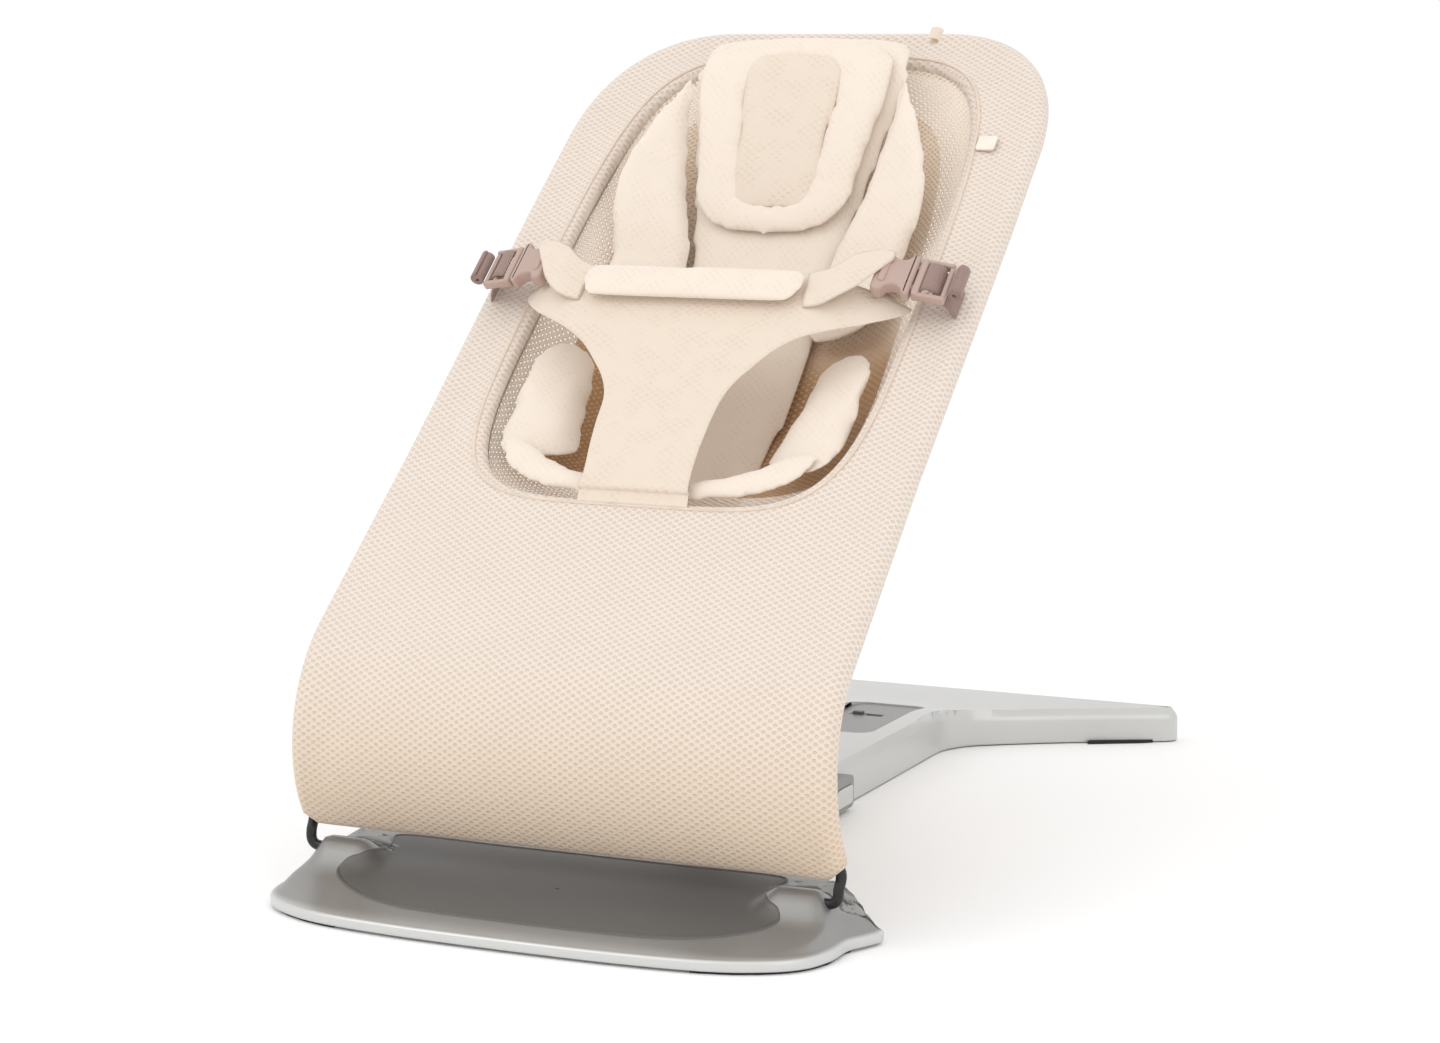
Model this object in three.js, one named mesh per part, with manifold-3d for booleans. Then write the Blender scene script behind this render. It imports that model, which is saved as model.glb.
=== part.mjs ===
// Bouncer seat: fabric seat on a bent tube frame, hinged on a flat T-shaped base and held by a folding arm.
// Millimetres, +Z up, the front of the seat faces -Y, X = 0 is the plane of symmetry.
import * as THREE from "three";
import Module from "manifold-3d";

const wasm = await Module();
wasm.setup();
const { Manifold, Mesh: SolidMesh } = wasm;
const V = (x, y, z) => new THREE.Vector3(x, y, z);
const rad = THREE.MathUtils.degToRad;
const { min, max, abs, sin, cos, hypot, pow, PI } = Math;
const lerp = THREE.MathUtils.lerp;

// ---------------------------------------------------------------- driving sizes
const CLEAR = 0.4; // gap between parts that touch or fit
const SEAT_HALF_WIDTH = 192; // silhouette half width over most of the seat
const HEM_FLARE = 8; // how much wider each side is at the bottom hem
const SEAT_STRAIGHT = 610; // straight run of the seat profile
const RECLINE = 40.4; // degrees from the floor, seat at its highest notch
const BULGE_R = 104; // radius of the lower roll of the seat
const HEM_Z = 42; // height of the bottom hem
const BULGE_TURN = 87.6; // degrees that the lower roll turns through
const TUBE_R = 6; // seat frame tube
const TUBE_WALL = 1.2;
const FABRIC = 1.6; // thickness of the cover
const WIRE_R = 3.5; // black lower wires and pivot pins
const PIVOT_Z = 30; // seat hinge height
const BOSS_R = 9;
const BOSS_WIDE = 31;
const BOSS_INSET = 19; // from the hem's side to the outer face of a boss
const SIDE_BAND = 43; // cover beside its opening
const TOP_BAND = 34; // cover above its opening
const OPEN_LOW = 277; // low edge of the opening, along the seat
const FOOT_FRONT = 93; // front foot reaches this far before the hinge
const FOOT_OVER = 3; // front foot reaches this far past the hem on each side
const SHOULDER_OVER = 14; // and at its rear corners, the widest point of the base
const FOOT_REAR = 50;
const REAR_EDGE = 705; // rear edge of the base
const PAD_H = 3; // rubber feet
const SPINE_HALF = 50;
const SPINE_TOP = 36;
const REAR_TOP = 28;
const TRACK_HALF = 12.5; // inside of the shoe track
const TRACK_FLOOR = 19;
const TRACK_FRONT = 272;
const TRACK_REAR = 462;
const ARM_LENGTH = 220; // equals the distance from the hinge to the crossbar
const ARM_REACH = 150; // crossbar stands this far behind the hinge
const CROSSBAR_R = 7;
const BUCKLE_S = 474; // where the buckles lie along the seat
const SHOE_HALF_LENGTH = 15;
const SHELL = 3; // moulded wall

const HEM_HALF_WIDTH = SEAT_HALF_WIDTH + HEM_FLARE;
const OPEN_HALF = SEAT_HALF_WIDTH - SIDE_BAND;
const BOSS_OUT = HEM_HALF_WIDTH - BOSS_INSET;
const BOSS_IN = BOSS_OUT - BOSS_WIDE;
const FOOT_HALF = HEM_HALF_WIDTH + FOOT_OVER;
const SHOULDER_HALF = HEM_HALF_WIDTH + SHOULDER_OVER;

// Crossbar and shoe follow from the arm: hinge, crossbar and shoe pin form an isosceles triangle.
const BAR_Y = ARM_REACH;
const BAR_Z = PIVOT_Z + Math.sqrt(ARM_LENGTH ** 2 - ARM_REACH ** 2);
const SHOE_Y = 2 * ARM_REACH;

// ---------------------------------------------------------------- seat surface
// s runs up the seat, STRAIGHT_S where the lower roll ends, h is the height off the seat towards the sitter.
const STRAIGHT_S = 159;
const STRAIGHT_NORMAL = rad(90 + RECLINE);
const HEM_ANGLE = STRAIGHT_NORMAL + rad(BULGE_TURN);
const BULGE_Y = -BULGE_R * cos(HEM_ANGLE);
const BULGE_Z = HEM_Z - BULGE_R * sin(HEM_ANGLE);
const BULGE_LENGTH = BULGE_R * rad(BULGE_TURN);
const HEM_S0 = STRAIGHT_S - BULGE_LENGTH; // s at the hem
const SEAT_TOP = STRAIGHT_S + SEAT_STRAIGHT;
const OPEN_HIGH = SEAT_TOP - TOP_BAND;
const STRAIGHT_Y = BULGE_Y + BULGE_R * cos(STRAIGHT_NORMAL);
const STRAIGHT_Z = BULGE_Z + BULGE_R * sin(STRAIGHT_NORMAL);

function seat(x, s, h = 0) {
  if (s < STRAIGHT_S) {
    const a = HEM_ANGLE - (s - HEM_S0) / BULGE_R;
    return V(x, BULGE_Y + (BULGE_R + h) * cos(a), BULGE_Z + (BULGE_R + h) * sin(a));
  }
  const d = s - STRAIGHT_S;
  const ny = cos(STRAIGHT_NORMAL);
  const nz = sin(STRAIGHT_NORMAL);
  return V(x, STRAIGHT_Y + d * nz + h * ny, STRAIGHT_Z - d * ny + h * nz);
}

// Piecewise linear value from [at, value] pairs.
function along(pairs, at) {
  if (at <= pairs[0][0]) return pairs[0][1];
  for (let i = 1; i < pairs.length; i++) {
    const [a, va] = pairs[i - 1];
    const [b, vb] = pairs[i];
    if (at <= b) return lerp(va, vb, (at - a) / (b - a));
  }
  return pairs[pairs.length - 1][1];
}

// ---------------------------------------------------------------- geometry helpers
function geometryOf(points, faces) {
  const flat = new Float32Array(points.flatMap((p) => [p.x, p.y, p.z]));
  const g = new THREE.BufferGeometry();
  g.setAttribute("position", new THREE.BufferAttribute(flat, 3));
  g.setIndex(faces);
  return g;
}

function signedVolume(points, faces) {
  let v = 0;
  for (let i = 0; i < faces.length; i += 3) {
    const [a, b, c] = [points[faces[i]], points[faces[i + 1]], points[faces[i + 2]]];
    v += a.dot(b.clone().cross(c));
  }
  return v;
}

// Skin over rows of equal length, each row a closed ring. A loop joins the last row to the first,
// otherwise the first and last rows close on their own middles.
function skin(rows, loop) {
  const n = rows[0].length;
  const points = rows.flat();
  const faces = [];
  const last = loop ? rows.length : rows.length - 1;
  for (let r = 0; r < last; r++) {
    const a = r * n;
    const b = ((r + 1) % rows.length) * n;
    for (let i = 0; i < n; i++) {
      const j = (i + 1) % n;
      faces.push(a + i, b + i, b + j, a + i, b + j, a + j);
    }
  }
  if (!loop) {
    for (const [start, flip] of [[0, false], [(rows.length - 1) * n, true]]) {
      const middle = points.slice(start, start + n).reduce((m, p) => m.add(p), V(0, 0, 0));
      points.push(middle.divideScalar(n));
      for (let i = 0; i < n; i++) {
        const [p, q] = [start + i, start + ((i + 1) % n)];
        faces.push(...(flip ? [points.length - 1, q, p] : [points.length - 1, p, q]));
      }
    }
  }
  if (signedVolume(points, faces) < 0) faces.reverse();
  return geometryOf(points, faces);
}

function solid(geometry) {
  const g = geometry.index ? geometry.toNonIndexed() : geometry;
  const seen = new Map();
  const verts = [];
  const tris = [];
  const p = g.getAttribute("position");
  for (let i = 0; i < p.count; i++) {
    const key = [p.getX(i), p.getY(i), p.getZ(i)].map((v) => Math.round(v * 1e4)).join();
    if (!seen.has(key)) {
      seen.set(key, verts.length / 3);
      verts.push(p.getX(i), p.getY(i), p.getZ(i));
    }
    tris.push(seen.get(key));
  }
  const kept = [];
  for (let i = 0; i < tris.length; i += 3) {
    const [a, b, c] = tris.slice(i, i + 3);
    if (a !== b && b !== c && c !== a) kept.push(a, b, c);
  }
  return new Manifold(
    new SolidMesh({
      numProp: 3,
      vertProperties: new Float32Array(verts),
      triVerts: new Uint32Array(kept),
    }),
  );
}

const join = (...g) => fromSolid(g.map(solid).reduce((a, b) => a.add(b)));
const cut = (g, ...tools) => fromSolid(tools.map(solid).reduce((a, b) => a.subtract(b), solid(g)));
const common = (...g) => fromSolid(g.map(solid).reduce((a, b) => a.intersect(b)));

function fromSolid(s) {
  const m = s.getMesh();
  const points = [];
  for (let i = 0; i < m.numVert; i++) {
    points.push(V(...m.vertProperties.subarray(i * m.numProp, i * m.numProp + 3)));
  }
  return geometryOf(points, [...m.triVerts]);
}

function box(x0, x1, y0, y1, z0, z1) {
  const g = new THREE.BoxGeometry(x1 - x0, y1 - y0, z1 - z0);
  return g.translate((x0 + x1) / 2, (y0 + y1) / 2, (z0 + z1) / 2);
}

// Flat outline in the XY plane, raised from z0 to z1, with an optional rounded edge.
function raised(shape, z0, z1, edge = 0, steps = 2) {
  const g = new THREE.ExtrudeGeometry(shape, {
    depth: z1 - z0 - 2 * edge,
    bevelEnabled: edge > 0,
    bevelSize: edge,
    bevelThickness: edge,
    bevelOffset: -edge,
    bevelSegments: steps,
    curveSegments: 8,
  });
  return g.translate(0, 0, z0 + edge);
}

// Side view outline given as [y, z], drawn out along X.
function sideways(outline, x0, x1) {
  const shape = new THREE.Shape(outline.map(([y, z]) => new THREE.Vector2(y, z)));
  const g = new THREE.ExtrudeGeometry(shape, { depth: x1 - x0, bevelEnabled: false, curveSegments: 8 });
  return g.rotateY(PI / 2).rotateX(PI / 2).translate(x0, 0, 0);
}

// Round bar along X.
function pin(x0, x1, y, z, r, sides = 16) {
  const g = new THREE.CylinderGeometry(r, r, x1 - x0, sides);
  return g.rotateZ(PI / 2).translate((x0 + x1) / 2, y, z);
}

function post(x, y, z0, z1, r, sides = 16) {
  const g = new THREE.CylinderGeometry(r, r, z1 - z0, sides);
  return g.rotateX(PI / 2).translate(x, y, (z0 + z1) / 2);
}

// Tube or rod along a smooth path.
function tube(path, r, { bore = 0, sides = 10, steps = 40 } = {}) {
  const curve = new THREE.CatmullRomCurve3(path, false, "centripetal");
  const shape = new THREE.Shape();
  shape.absarc(0, 0, r, 0, 2 * PI, false);
  if (bore) {
    const hole = new THREE.Path();
    hole.absarc(0, 0, bore, 0, 2 * PI, true);
    shape.holes.push(hole);
  }
  return new THREE.ExtrudeGeometry(shape, {
    extrudePath: curve,
    steps,
    bevelEnabled: false,
    curveSegments: sides / 2,
  });
}

function mirror(g) {
  const m = g.clone().scale(-1, 1, 1);
  const p = m.index ? m.toNonIndexed() : m;
  const a = p.getAttribute("position").array;
  for (let i = 0; i < a.length; i += 9) {
    for (let k = 0; k < 3; k++) {
      [a[i + k], a[i + 6 + k]] = [a[i + 6 + k], a[i + k]];
    }
  }
  const out = new THREE.BufferGeometry();
  out.setAttribute("position", new THREE.BufferAttribute(a, 3));
  return out;
}

function roundedRect(x0, x1, y0, y1, r) {
  const s = new THREE.Shape();
  s.moveTo(x0 + r, y0);
  s.lineTo(x1 - r, y0);
  s.absarc(x1 - r, y0 + r, r, -PI / 2, 0, false);
  s.lineTo(x1, y1 - r);
  s.absarc(x1 - r, y1 - r, r, 0, PI / 2, false);
  s.lineTo(x0 + r, y1);
  s.absarc(x0 + r, y1 - r, r, PI / 2, PI, false);
  s.lineTo(x0, y0 + r);
  s.absarc(x0 + r, y0 + r, r, PI, 1.5 * PI, false);
  return s;
}

// Polygon given as [x, y] for the right half, from front to rear, mirrored about X = 0.
function mirrored(half) {
  const left = half.filter(([x]) => x > 0.01).map(([x, y]) => [-x, y]).reverse();
  return new THREE.Shape([...half, ...left].map(([x, y]) => new THREE.Vector2(x, y)));
}

// Soft corners for an open half outline.
function softened(points, count) {
  const curve = new THREE.CatmullRomCurve3(points.map(([x, y]) => V(x, y, 0)), false, "centripetal");
  return curve.getPoints(count).map((p) => [p.x, p.y]);
}

// ---------------------------------------------------------------- parts list
const root = new THREE.Group();
const PAINTS = {
  silver: ["#b9b8b6", 0.42, 0.35],
  grey: ["#8f8e8b", 0.5, 0.2],
  dark: ["#5d5c5a", 0.55, 0.1],
  steel: ["#a9abad", 0.35, 0.9],
  black: ["#1b1b1c", 0.45, 0.1],
  rubber: ["#202020", 0.9, 0],
  cover: ["#ead3b4", 0.95, 0],
  mesh: ["#ecd9bd", 0.95, 0],
  quilt: ["#f0dec6", 0.95, 0],
  buckle: ["#a58d84", 0.5, 0],
  webbing: ["#94796f", 0.9, 0],
};

function add(name, geometry, paint) {
  const [color, roughness, metalness] = PAINTS[paint];
  const material = new THREE.MeshStandardMaterial({ color, roughness, metalness });
  const mesh = new THREE.Mesh(geometry, material);
  mesh.name = name;
  root.add(mesh);
}

function addPair(name, right, paint) {
  add(name + "_right", right, paint);
  add(name + "_left", mirror(right), paint);
}

// ---------------------------------------------------------------- base
const FOOT_PLAN = [
  [0, -FOOT_FRONT],
  ...softened(
    [
      [FOOT_HALF * 0.36, -FOOT_FRONT + 1.5],
      [FOOT_HALF * 0.67, -FOOT_FRONT + 8],
      [FOOT_HALF * 0.85, -FOOT_FRONT + 21],
      [FOOT_HALF * 0.95, -FOOT_FRONT + 38],
      [FOOT_HALF, -FOOT_FRONT + 62],
      [FOOT_HALF, -6],
      [SHOULDER_HALF - 5, 8],
    ],
    12,
  ),
  [SHOULDER_HALF, 20],
  [SHOULDER_HALF, 28],
  [SHOULDER_HALF - 14, 44],
  [SHOULDER_HALF - 26, FOOT_REAR],
  [0, FOOT_REAR],
];
// The dish of the foot climbs to the rear, under the hem, up to the top of the spine.
const footTop = [[-FOOT_FRONT, 9], [-60, 11], [-30, 17], [0, 26], [25, 33], [FOOT_REAR, SPINE_TOP]];
const footTopAt = (y) => along(footTop, y);
const footPlan = mirrored(FOOT_PLAN);

function footBand(low, high, x) {
  const ys = [-FOOT_FRONT - 5, ...footTop.map(([y]) => y), FOOT_REAR + 5];
  const upper = ys.map((y) => [y, high === null ? 90 : footTopAt(y) + high]);
  const lower = ys.map((y) => [y, low === null ? PAD_H : footTopAt(y) + low]).reverse();
  return sideways([...lower, ...upper], -x, x);
}

const INLAY_HALF = BOSS_OUT - 11;
const INLAY_PLAN = [
  [0, -60],
  ...softened(
    [[-80, -57], [-48, -49], [-20, -32], [-4, -14], [0, 4], [-6, 20], [-22, 32], [-42, 34]].map(
      ([x, y]) => [INLAY_HALF + x, y],
    ),
    12,
  ),
  [0, 34],
];
function inlayOutline(grow) {
  const middle = -12;
  const stretch = (y) => y + Math.sign(y - middle) * grow;
  return mirrored(INLAY_PLAN.map(([x, y]) => [x > 0 ? x + grow : 0, stretch(y)]));
}
const INLAY_DEEP = 3;

// The dish stays between the bosses: outside them the top falls to the thin rim.
const FALL_OUT = SHOULDER_HALF + 5;
const FALL = [[FALL_OUT, 0], [FALL_OUT, 17], [FALL_OUT - 19, 20], [FALL_OUT - 35, 28], [FALL_OUT - 49, 60]];
const footFall = new THREE.ExtrudeGeometry(mirrored([[0, 0], ...FALL, [0, 60]]), {
  depth: FOOT_FRONT + FOOT_REAR + 10,
  bevelEnabled: false,
}).rotateX(PI / 2).translate(0, FOOT_REAR + 5, 0);
const boss = join(
  pin(BOSS_IN, BOSS_OUT, 0, PIVOT_Z, BOSS_R, 20),
  sideways(
    [[-BOSS_R - 9, PAD_H], [-BOSS_R, PIVOT_Z], [BOSS_R, PIVOT_Z], [BOSS_R + 12, PAD_H]],
    BOSS_IN,
    BOSS_OUT,
  ),
);
const BUSH_R = WIRE_R + 2.4;
let footShell = common(raised(footPlan, PAD_H, 70), footBand(null, 0, SHOULDER_HALF + 5), footFall);
footShell = join(
  footShell,
  boss,
  mirror(boss),
  box(-SPINE_HALF + SHELL + CLEAR, SPINE_HALF - SHELL - CLEAR, 20, 92, PAD_H + 2.6, SPINE_TOP - SHELL - CLEAR),
);
const boreReach = BOSS_OUT + 2;
footShell = cut(
  footShell,
  cut(
    common(raised(inlayOutline(CLEAR), PAD_H, 60), footBand(-INLAY_DEEP, 20, INLAY_HALF + 5)),
    box(BOSS_IN, BOSS_OUT + 9, -BOSS_R - 9, 60, 0, 60),
    box(-BOSS_OUT - 9, -BOSS_IN, -BOSS_R - 9, 60, 0, 60),
  ),
  pin(BOSS_IN + 5, boreReach, 0, PIVOT_Z, BUSH_R + CLEAR),
  pin(-boreReach, -BOSS_IN - 5, 0, PIVOT_Z, BUSH_R + CLEAR),
);
add("front_foot_shell", footShell, "silver");
const inlay = common(raised(inlayOutline(0), PAD_H, 60), footBand(-INLAY_DEEP + CLEAR, -0.8, INLAY_HALF));
const tongueGap = box(-SPINE_HALF, SPINE_HALF, 19, 60, 0, 60);
const bossGap = sideways([[-BOSS_R - 10, 0], [-BOSS_R - 10, 60], [60, 60], [60, 0]], BOSS_IN - 1, BOSS_OUT + 9);
add("front_foot_inlay", cut(inlay, tongueGap, bossGap, mirror(bossGap)), "dark");
addPair(
  "pivot_bush",
  cut(
    pin(BOSS_IN + 5 + CLEAR, BOSS_OUT + 1, 0, PIVOT_Z, BUSH_R, 16),
    pin(BOSS_IN, BOSS_OUT + 3, 0, PIVOT_Z, WIRE_R + CLEAR, 16),
  ),
  "black",
);

const padBlank = raised(mirrored(FOOT_PLAN.map(([x, y]) => [x * 0.985, y * 0.97])), 0, PAD_H - CLEAR);
const padCore = raised(roundedRect(-FOOT_HALF + 31, FOOT_HALF - 31, -FOOT_FRONT + 26, 60, 30), -1, PAD_H + 1);
const padZone = box(FOOT_HALF - 75, FOOT_HALF + 17, -FOOT_FRONT, 0, 0, PAD_H);
addPair("front_pad", common(cut(padBlank, padCore), padZone), "rubber");

// Spine and rear foot are one moulding, open underneath.
const REAR_PLAN = [
  [0, FOOT_REAR + CLEAR],
  [SPINE_HALF, FOOT_REAR + CLEAR],
  [SPINE_HALF, 556],
  ...softened([[SPINE_HALF + 1, 578], [SPINE_HALF + 9, 597], [SPINE_HALF + 24, 613]], 6),
  [128, 648],
  [182, 676],
  ...softened([[203, 687], [211, 693], [213, 699], [209, REAR_EDGE - 1]], 6),
  [204, REAR_EDGE],
  [0, REAR_EDGE],
];
const spineBlank = common(
  raised(mirrored(REAR_PLAN), PAD_H - 6, SPINE_TOP, 5, 3),
  sideways(
    [[0, PAD_H], [0, 30], [70, SPINE_TOP], [556, SPINE_TOP], [622, REAR_TOP + 1.5], [720, REAR_TOP], [720, PAD_H]],
    -SHOULDER_HALF,
    SHOULDER_HALF,
  ),
);
const rearRound = common(
  raised(mirrored(REAR_PLAN), PAD_H - 6, REAR_TOP, 5, 3),
  box(-SHOULDER_HALF, SHOULDER_HALF, 600, 720, PAD_H, 60),
);
const spineForward = common(spineBlank, box(-SPINE_HALF - 12, SPINE_HALF + 12, 0, 640, 0, 60));
const RECESS_FLOOR = 27;
const recess = (grow) => roundedRect(-32 - grow, 32 + grow, 463 - grow, 600 + grow, 14 + grow);
const inner = SPINE_HALF - SHELL;
const hollow = join(
  box(-inner, inner, 0, TRACK_FRONT - 8, 0, SPINE_TOP - SHELL),
  box(TRACK_HALF + 8, inner, 100, 455, 0, SPINE_TOP - SHELL - 1),
  box(-inner, -TRACK_HALF - 8, 100, 455, 0, SPINE_TOP - SHELL - 1),
  box(-inner, inner, TRACK_REAR + 8, 560, 0, RECESS_FLOOR - SHELL),
  box(TRACK_HALF + 8, inner, 440, 560, 0, RECESS_FLOOR - SHELL),
  box(-inner, -TRACK_HALF - 8, 440, 560, 0, RECESS_FLOOR - SHELL),
);
const WALL = 4; // wall of the track rail
const trackPocket = box(
  -TRACK_HALF - WALL - CLEAR,
  TRACK_HALF + WALL + CLEAR,
  TRACK_FRONT - CLEAR,
  TRACK_REAR - 6,
  TRACK_FLOOR - WALL - CLEAR,
  60,
);
const SCREWS = [[-34, 130], [34, 130], [-34, 520], [34, 520]];
const roofAt = (y) => (y < TRACK_REAR ? SPINE_TOP : RECESS_FLOOR) - SHELL;
const screwBosses = SCREWS.map(([x, y]) => post(x, y, PAD_H + 2.8, roofAt(y) + 1, 5, 12));
const spineShell = cut(
  join(cut(join(spineForward, rearRound), hollow), ...screwBosses),
  ...SCREWS.map(([x, y]) => post(x, y, 0, PAD_H + 12, 2 + CLEAR, 12)),
  box(-inner, inner, 100, 560, 0, PAD_H + 2.8),
  trackPocket,
  raised(recess(0), RECESS_FLOOR, 60),
  box(-SHOULDER_HALF, SHOULDER_HALF, 0, 720, -10, PAD_H + 0.01),
);
add("spine_shell", spineShell, "silver");

const NOTCHES = [SHOE_Y, SHOE_Y + 51, SHOE_Y + 92];
const rail = cut(
  box(
    -TRACK_HALF - WALL,
    TRACK_HALF + WALL,
    TRACK_FRONT,
    TRACK_REAR - 6 - CLEAR,
    TRACK_FLOOR - WALL,
    SPINE_TOP - 1,
  ),
  box(-TRACK_HALF, TRACK_HALF, TRACK_FRONT + 3, TRACK_REAR - 9, TRACK_FLOOR, 60),
  ...NOTCHES.map((y) => pin(-TRACK_HALF, TRACK_HALF, y + 13, TRACK_FLOOR, 1.8, 8)),
);
add("track_rail", rail, "black");

const SLOT_Y = 558;
const SLOT_X0 = -21;
const SLOT_X1 = 7;
const deckTop = RECESS_FLOOR + 3.2;
add(
  "deck_panel",
  cut(
    raised(recess(-CLEAR), RECESS_FLOOR + CLEAR, deckTop),
    box(SLOT_X0, SLOT_X1, SLOT_Y - 4, SLOT_Y + 4, RECESS_FLOOR + 1.6, 60),
  ),
  "grey",
);
add(
  "lock_slider",
  join(
    box(SLOT_X0 + 0.6, SLOT_X0 + 14, SLOT_Y - 3.5, SLOT_Y + 3.5, RECESS_FLOOR + 2, deckTop - 0.2),
    box(SLOT_X0 + 3, SLOT_X0 + 11, SLOT_Y - 2.6, SLOT_Y + 2.6, deckTop - 1, deckTop + 2.4),
  ),
  "dark",
);

// Latch housings on both sides of the spine, each with a push button.
const HOUSING_X = 60;
const HOUSING = [280, 362, PAD_H + 0.4, 28];
const BUTTON = [328, 358, 7, 21];
const sideShape = (y0, y1, z0, z1, r) => {
  const s = roundedRect(y0, y1, z0, z1, r);
  return s.getPoints(4).map((p) => [p.x, p.y]);
};
const housing = sideways(sideShape(...HOUSING, 5), SPINE_HALF + CLEAR, HOUSING_X);
const buttonHole = sideways(
  sideShape(BUTTON[0] - CLEAR, BUTTON[1] + CLEAR, BUTTON[2] - CLEAR, BUTTON[3] + CLEAR, 3),
  0,
  HOUSING_X + 5,
);
addPair("latch_housing", cut(housing, buttonHole), "grey");
addPair(
  "release_button",
  sideways(sideShape(...BUTTON, 3), SPINE_HALF + CLEAR + 4.2, HOUSING_X + 1),
  "silver",
);

const rearPadPlan = mirrored(REAR_PLAN.map(([x, y]) => [x * 0.93, y * 0.985]));
const rearPad = common(raised(rearPadPlan, 0, PAD_H - CLEAR), box(150, 230, 640, 720, 0, 9));
addPair("rear_pad", rearPad, "rubber");

// Covers under the spine, with four screws.
const coverBase = raised(roundedRect(-inner + CLEAR, inner - CLEAR, 104, 556, 6), PAD_H + 0.4, PAD_H + 2.4);
add("spine_bottom_cover", cut(coverBase, ...SCREWS.map(([x, y]) => post(x, y, 0, 9, 2.4))), "black");
SCREWS.forEach(([x, y], i) => {
  const head = join(post(x, y, PAD_H - 0.8, PAD_H + 0.1, 4), post(x, y, PAD_H - 0.1, PAD_H + 9, 2));
  add("cover_screw_" + (i + 1), head, "steel");
});

// ---------------------------------------------------------------- seat frame
const WRAP = TUBE_R + 2.7; // inside of the sleeve round the tube
const WRAP_MID = WRAP + FABRIC / 2;
const EDGE = WRAP + FABRIC; // tube centre to silhouette
const widths = [[0, 1], [120, 0.5], [200, 0.3], [320, 0], [560, 0], [690, -0.25], [800, -0.9]];
const widen = HEM_HALF_WIDTH - SEAT_HALF_WIDTH;
const frameHalf = (s) => SEAT_HALF_WIDTH + widen * along(widths, s) - EDGE;
const FRAME_TOP = SEAT_TOP - EDGE;
const CORNER_X = 98; // rounding of the top corners across and along the seat
const CORNER_S = 122;
const FRAME_LOW = HEM_S0 + 22;

// Right half of the frame line as [x, s], from s = low to the middle of the top.
function frameLine(low) {
  const line = [];
  const start = FRAME_TOP - CORNER_S;
  const rise = [low];
  for (const d of [12, 24, 43]) rise.push(FRAME_LOW + d);
  for (let i = 1; i <= 5; i++) rise.push(lerp(FRAME_LOW + 43, STRAIGHT_S, i / 5));
  for (let i = 1; i <= 9; i++) rise.push(lerp(STRAIGHT_S, start, i / 9));
  for (const s of rise) line.push([frameHalf(s), s]);
  const base = frameHalf(start);
  for (let i = 1; i <= 6; i++) {
    const a = (PI / 2) * (i / 6);
    line.push([base - CORNER_X + CORNER_X * pow(cos(a), 0.86), start + CORNER_S * pow(sin(a), 0.86)]);
  }
  return line;
}

const rightLine = frameLine(FRAME_LOW);
const TUBE_END = rightLine.slice(0, 3); // shared by the tube end and the wire inside it
const TUBE_H = -WRAP_MID;
const loop = [
  ...rightLine.map(([x, s]) => seat(x, s, TUBE_H)),
  ...rightLine.map(([x, s]) => seat(-x, s, TUBE_H)).reverse(),
];
add("frame_tube", tube(loop, TUBE_R, { bore: TUBE_R - TUBE_WALL, sides: 8, steps: 64 }), "steel");

// Lower wires: out of the tube ends, down past the hem and into the hinge bosses.
const wireX = frameHalf(HEM_S0) + 3;
const wireTop = seat(frameHalf(FRAME_LOW), FRAME_LOW, TUBE_H);
const wire = [
  ...TUBE_END.slice().reverse().map(([x, s]) => seat(x, s, TUBE_H)),
  V(wireX, wireTop.y * 0.45, HEM_Z + 3),
  V(wireX, 0, PIVOT_Z + 5),
  V(wireX - 4, 0, PIVOT_Z + 0.8),
  V(wireX - 9, 0, PIVOT_Z),
  V(wireX - 20, 0, PIVOT_Z),
  V(BOSS_IN + 7, 0, PIVOT_Z),
];
addPair("lower_wire", tube(wire, WIRE_R, { sides: 8, steps: 26 }), "black");

// Batten inside the bottom hem.
const hemIn = frameHalf(HEM_S0) - 12;
const battenLine = [-hemIn, 0, hemIn].map((x) => seat(x, HEM_S0 + 9, TUBE_H));
add("hem_batten", tube(battenLine, 3, { sides: 8, steps: 2 }), "black");

// Rear crossbar: bows back from the side tubes to carry the arm.
const barS = STRAIGHT_S + (BAR_Y - STRAIGHT_Y) * cos(rad(RECLINE)) + (BAR_Z - STRAIGHT_Z) * sin(rad(RECLINE));
const barH = -(BAR_Y - STRAIGHT_Y) * sin(rad(RECLINE)) + (BAR_Z - STRAIGHT_Z) * cos(rad(RECLINE));
const sideX = frameHalf(barS);
const BAR_LEAN = rad(55); // the bar's ends climb outwards to the tubes at this angle
const clampEnd = [sideX - 14, TUBE_H - 13.5];
const alongBar = (d) => seat(clampEnd[0] - d * cos(BAR_LEAN), barS, clampEnd[1] - d * sin(BAR_LEAN));
const bowRight = [
  seat(0, barS, barH),
  seat(60, barS, barH),
  seat(sideX - 94, barS, barH),
  seat(sideX - 67, barS, barH + 4),
  alongBar(44),
  alongBar(26),
  alongBar(13),
  alongBar(0),
];
const bow = [...bowRight.slice(1).reverse().map((p) => V(-p.x, p.y, p.z)), ...bowRight];
add("rear_crossbar", tube(bow, CROSSBAR_R, { bore: CROSSBAR_R - TUBE_WALL, sides: 8, steps: 36 }), "steel");

// Blocks given in seat coordinates: x, s and h ranges on the straight part of the seat.
function seatBlock(x0, x1, s0, s1, h0, h1) {
  const g = box(x0, x1, s0, s1, h0, h1);
  return onSeat(g);
}

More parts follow.
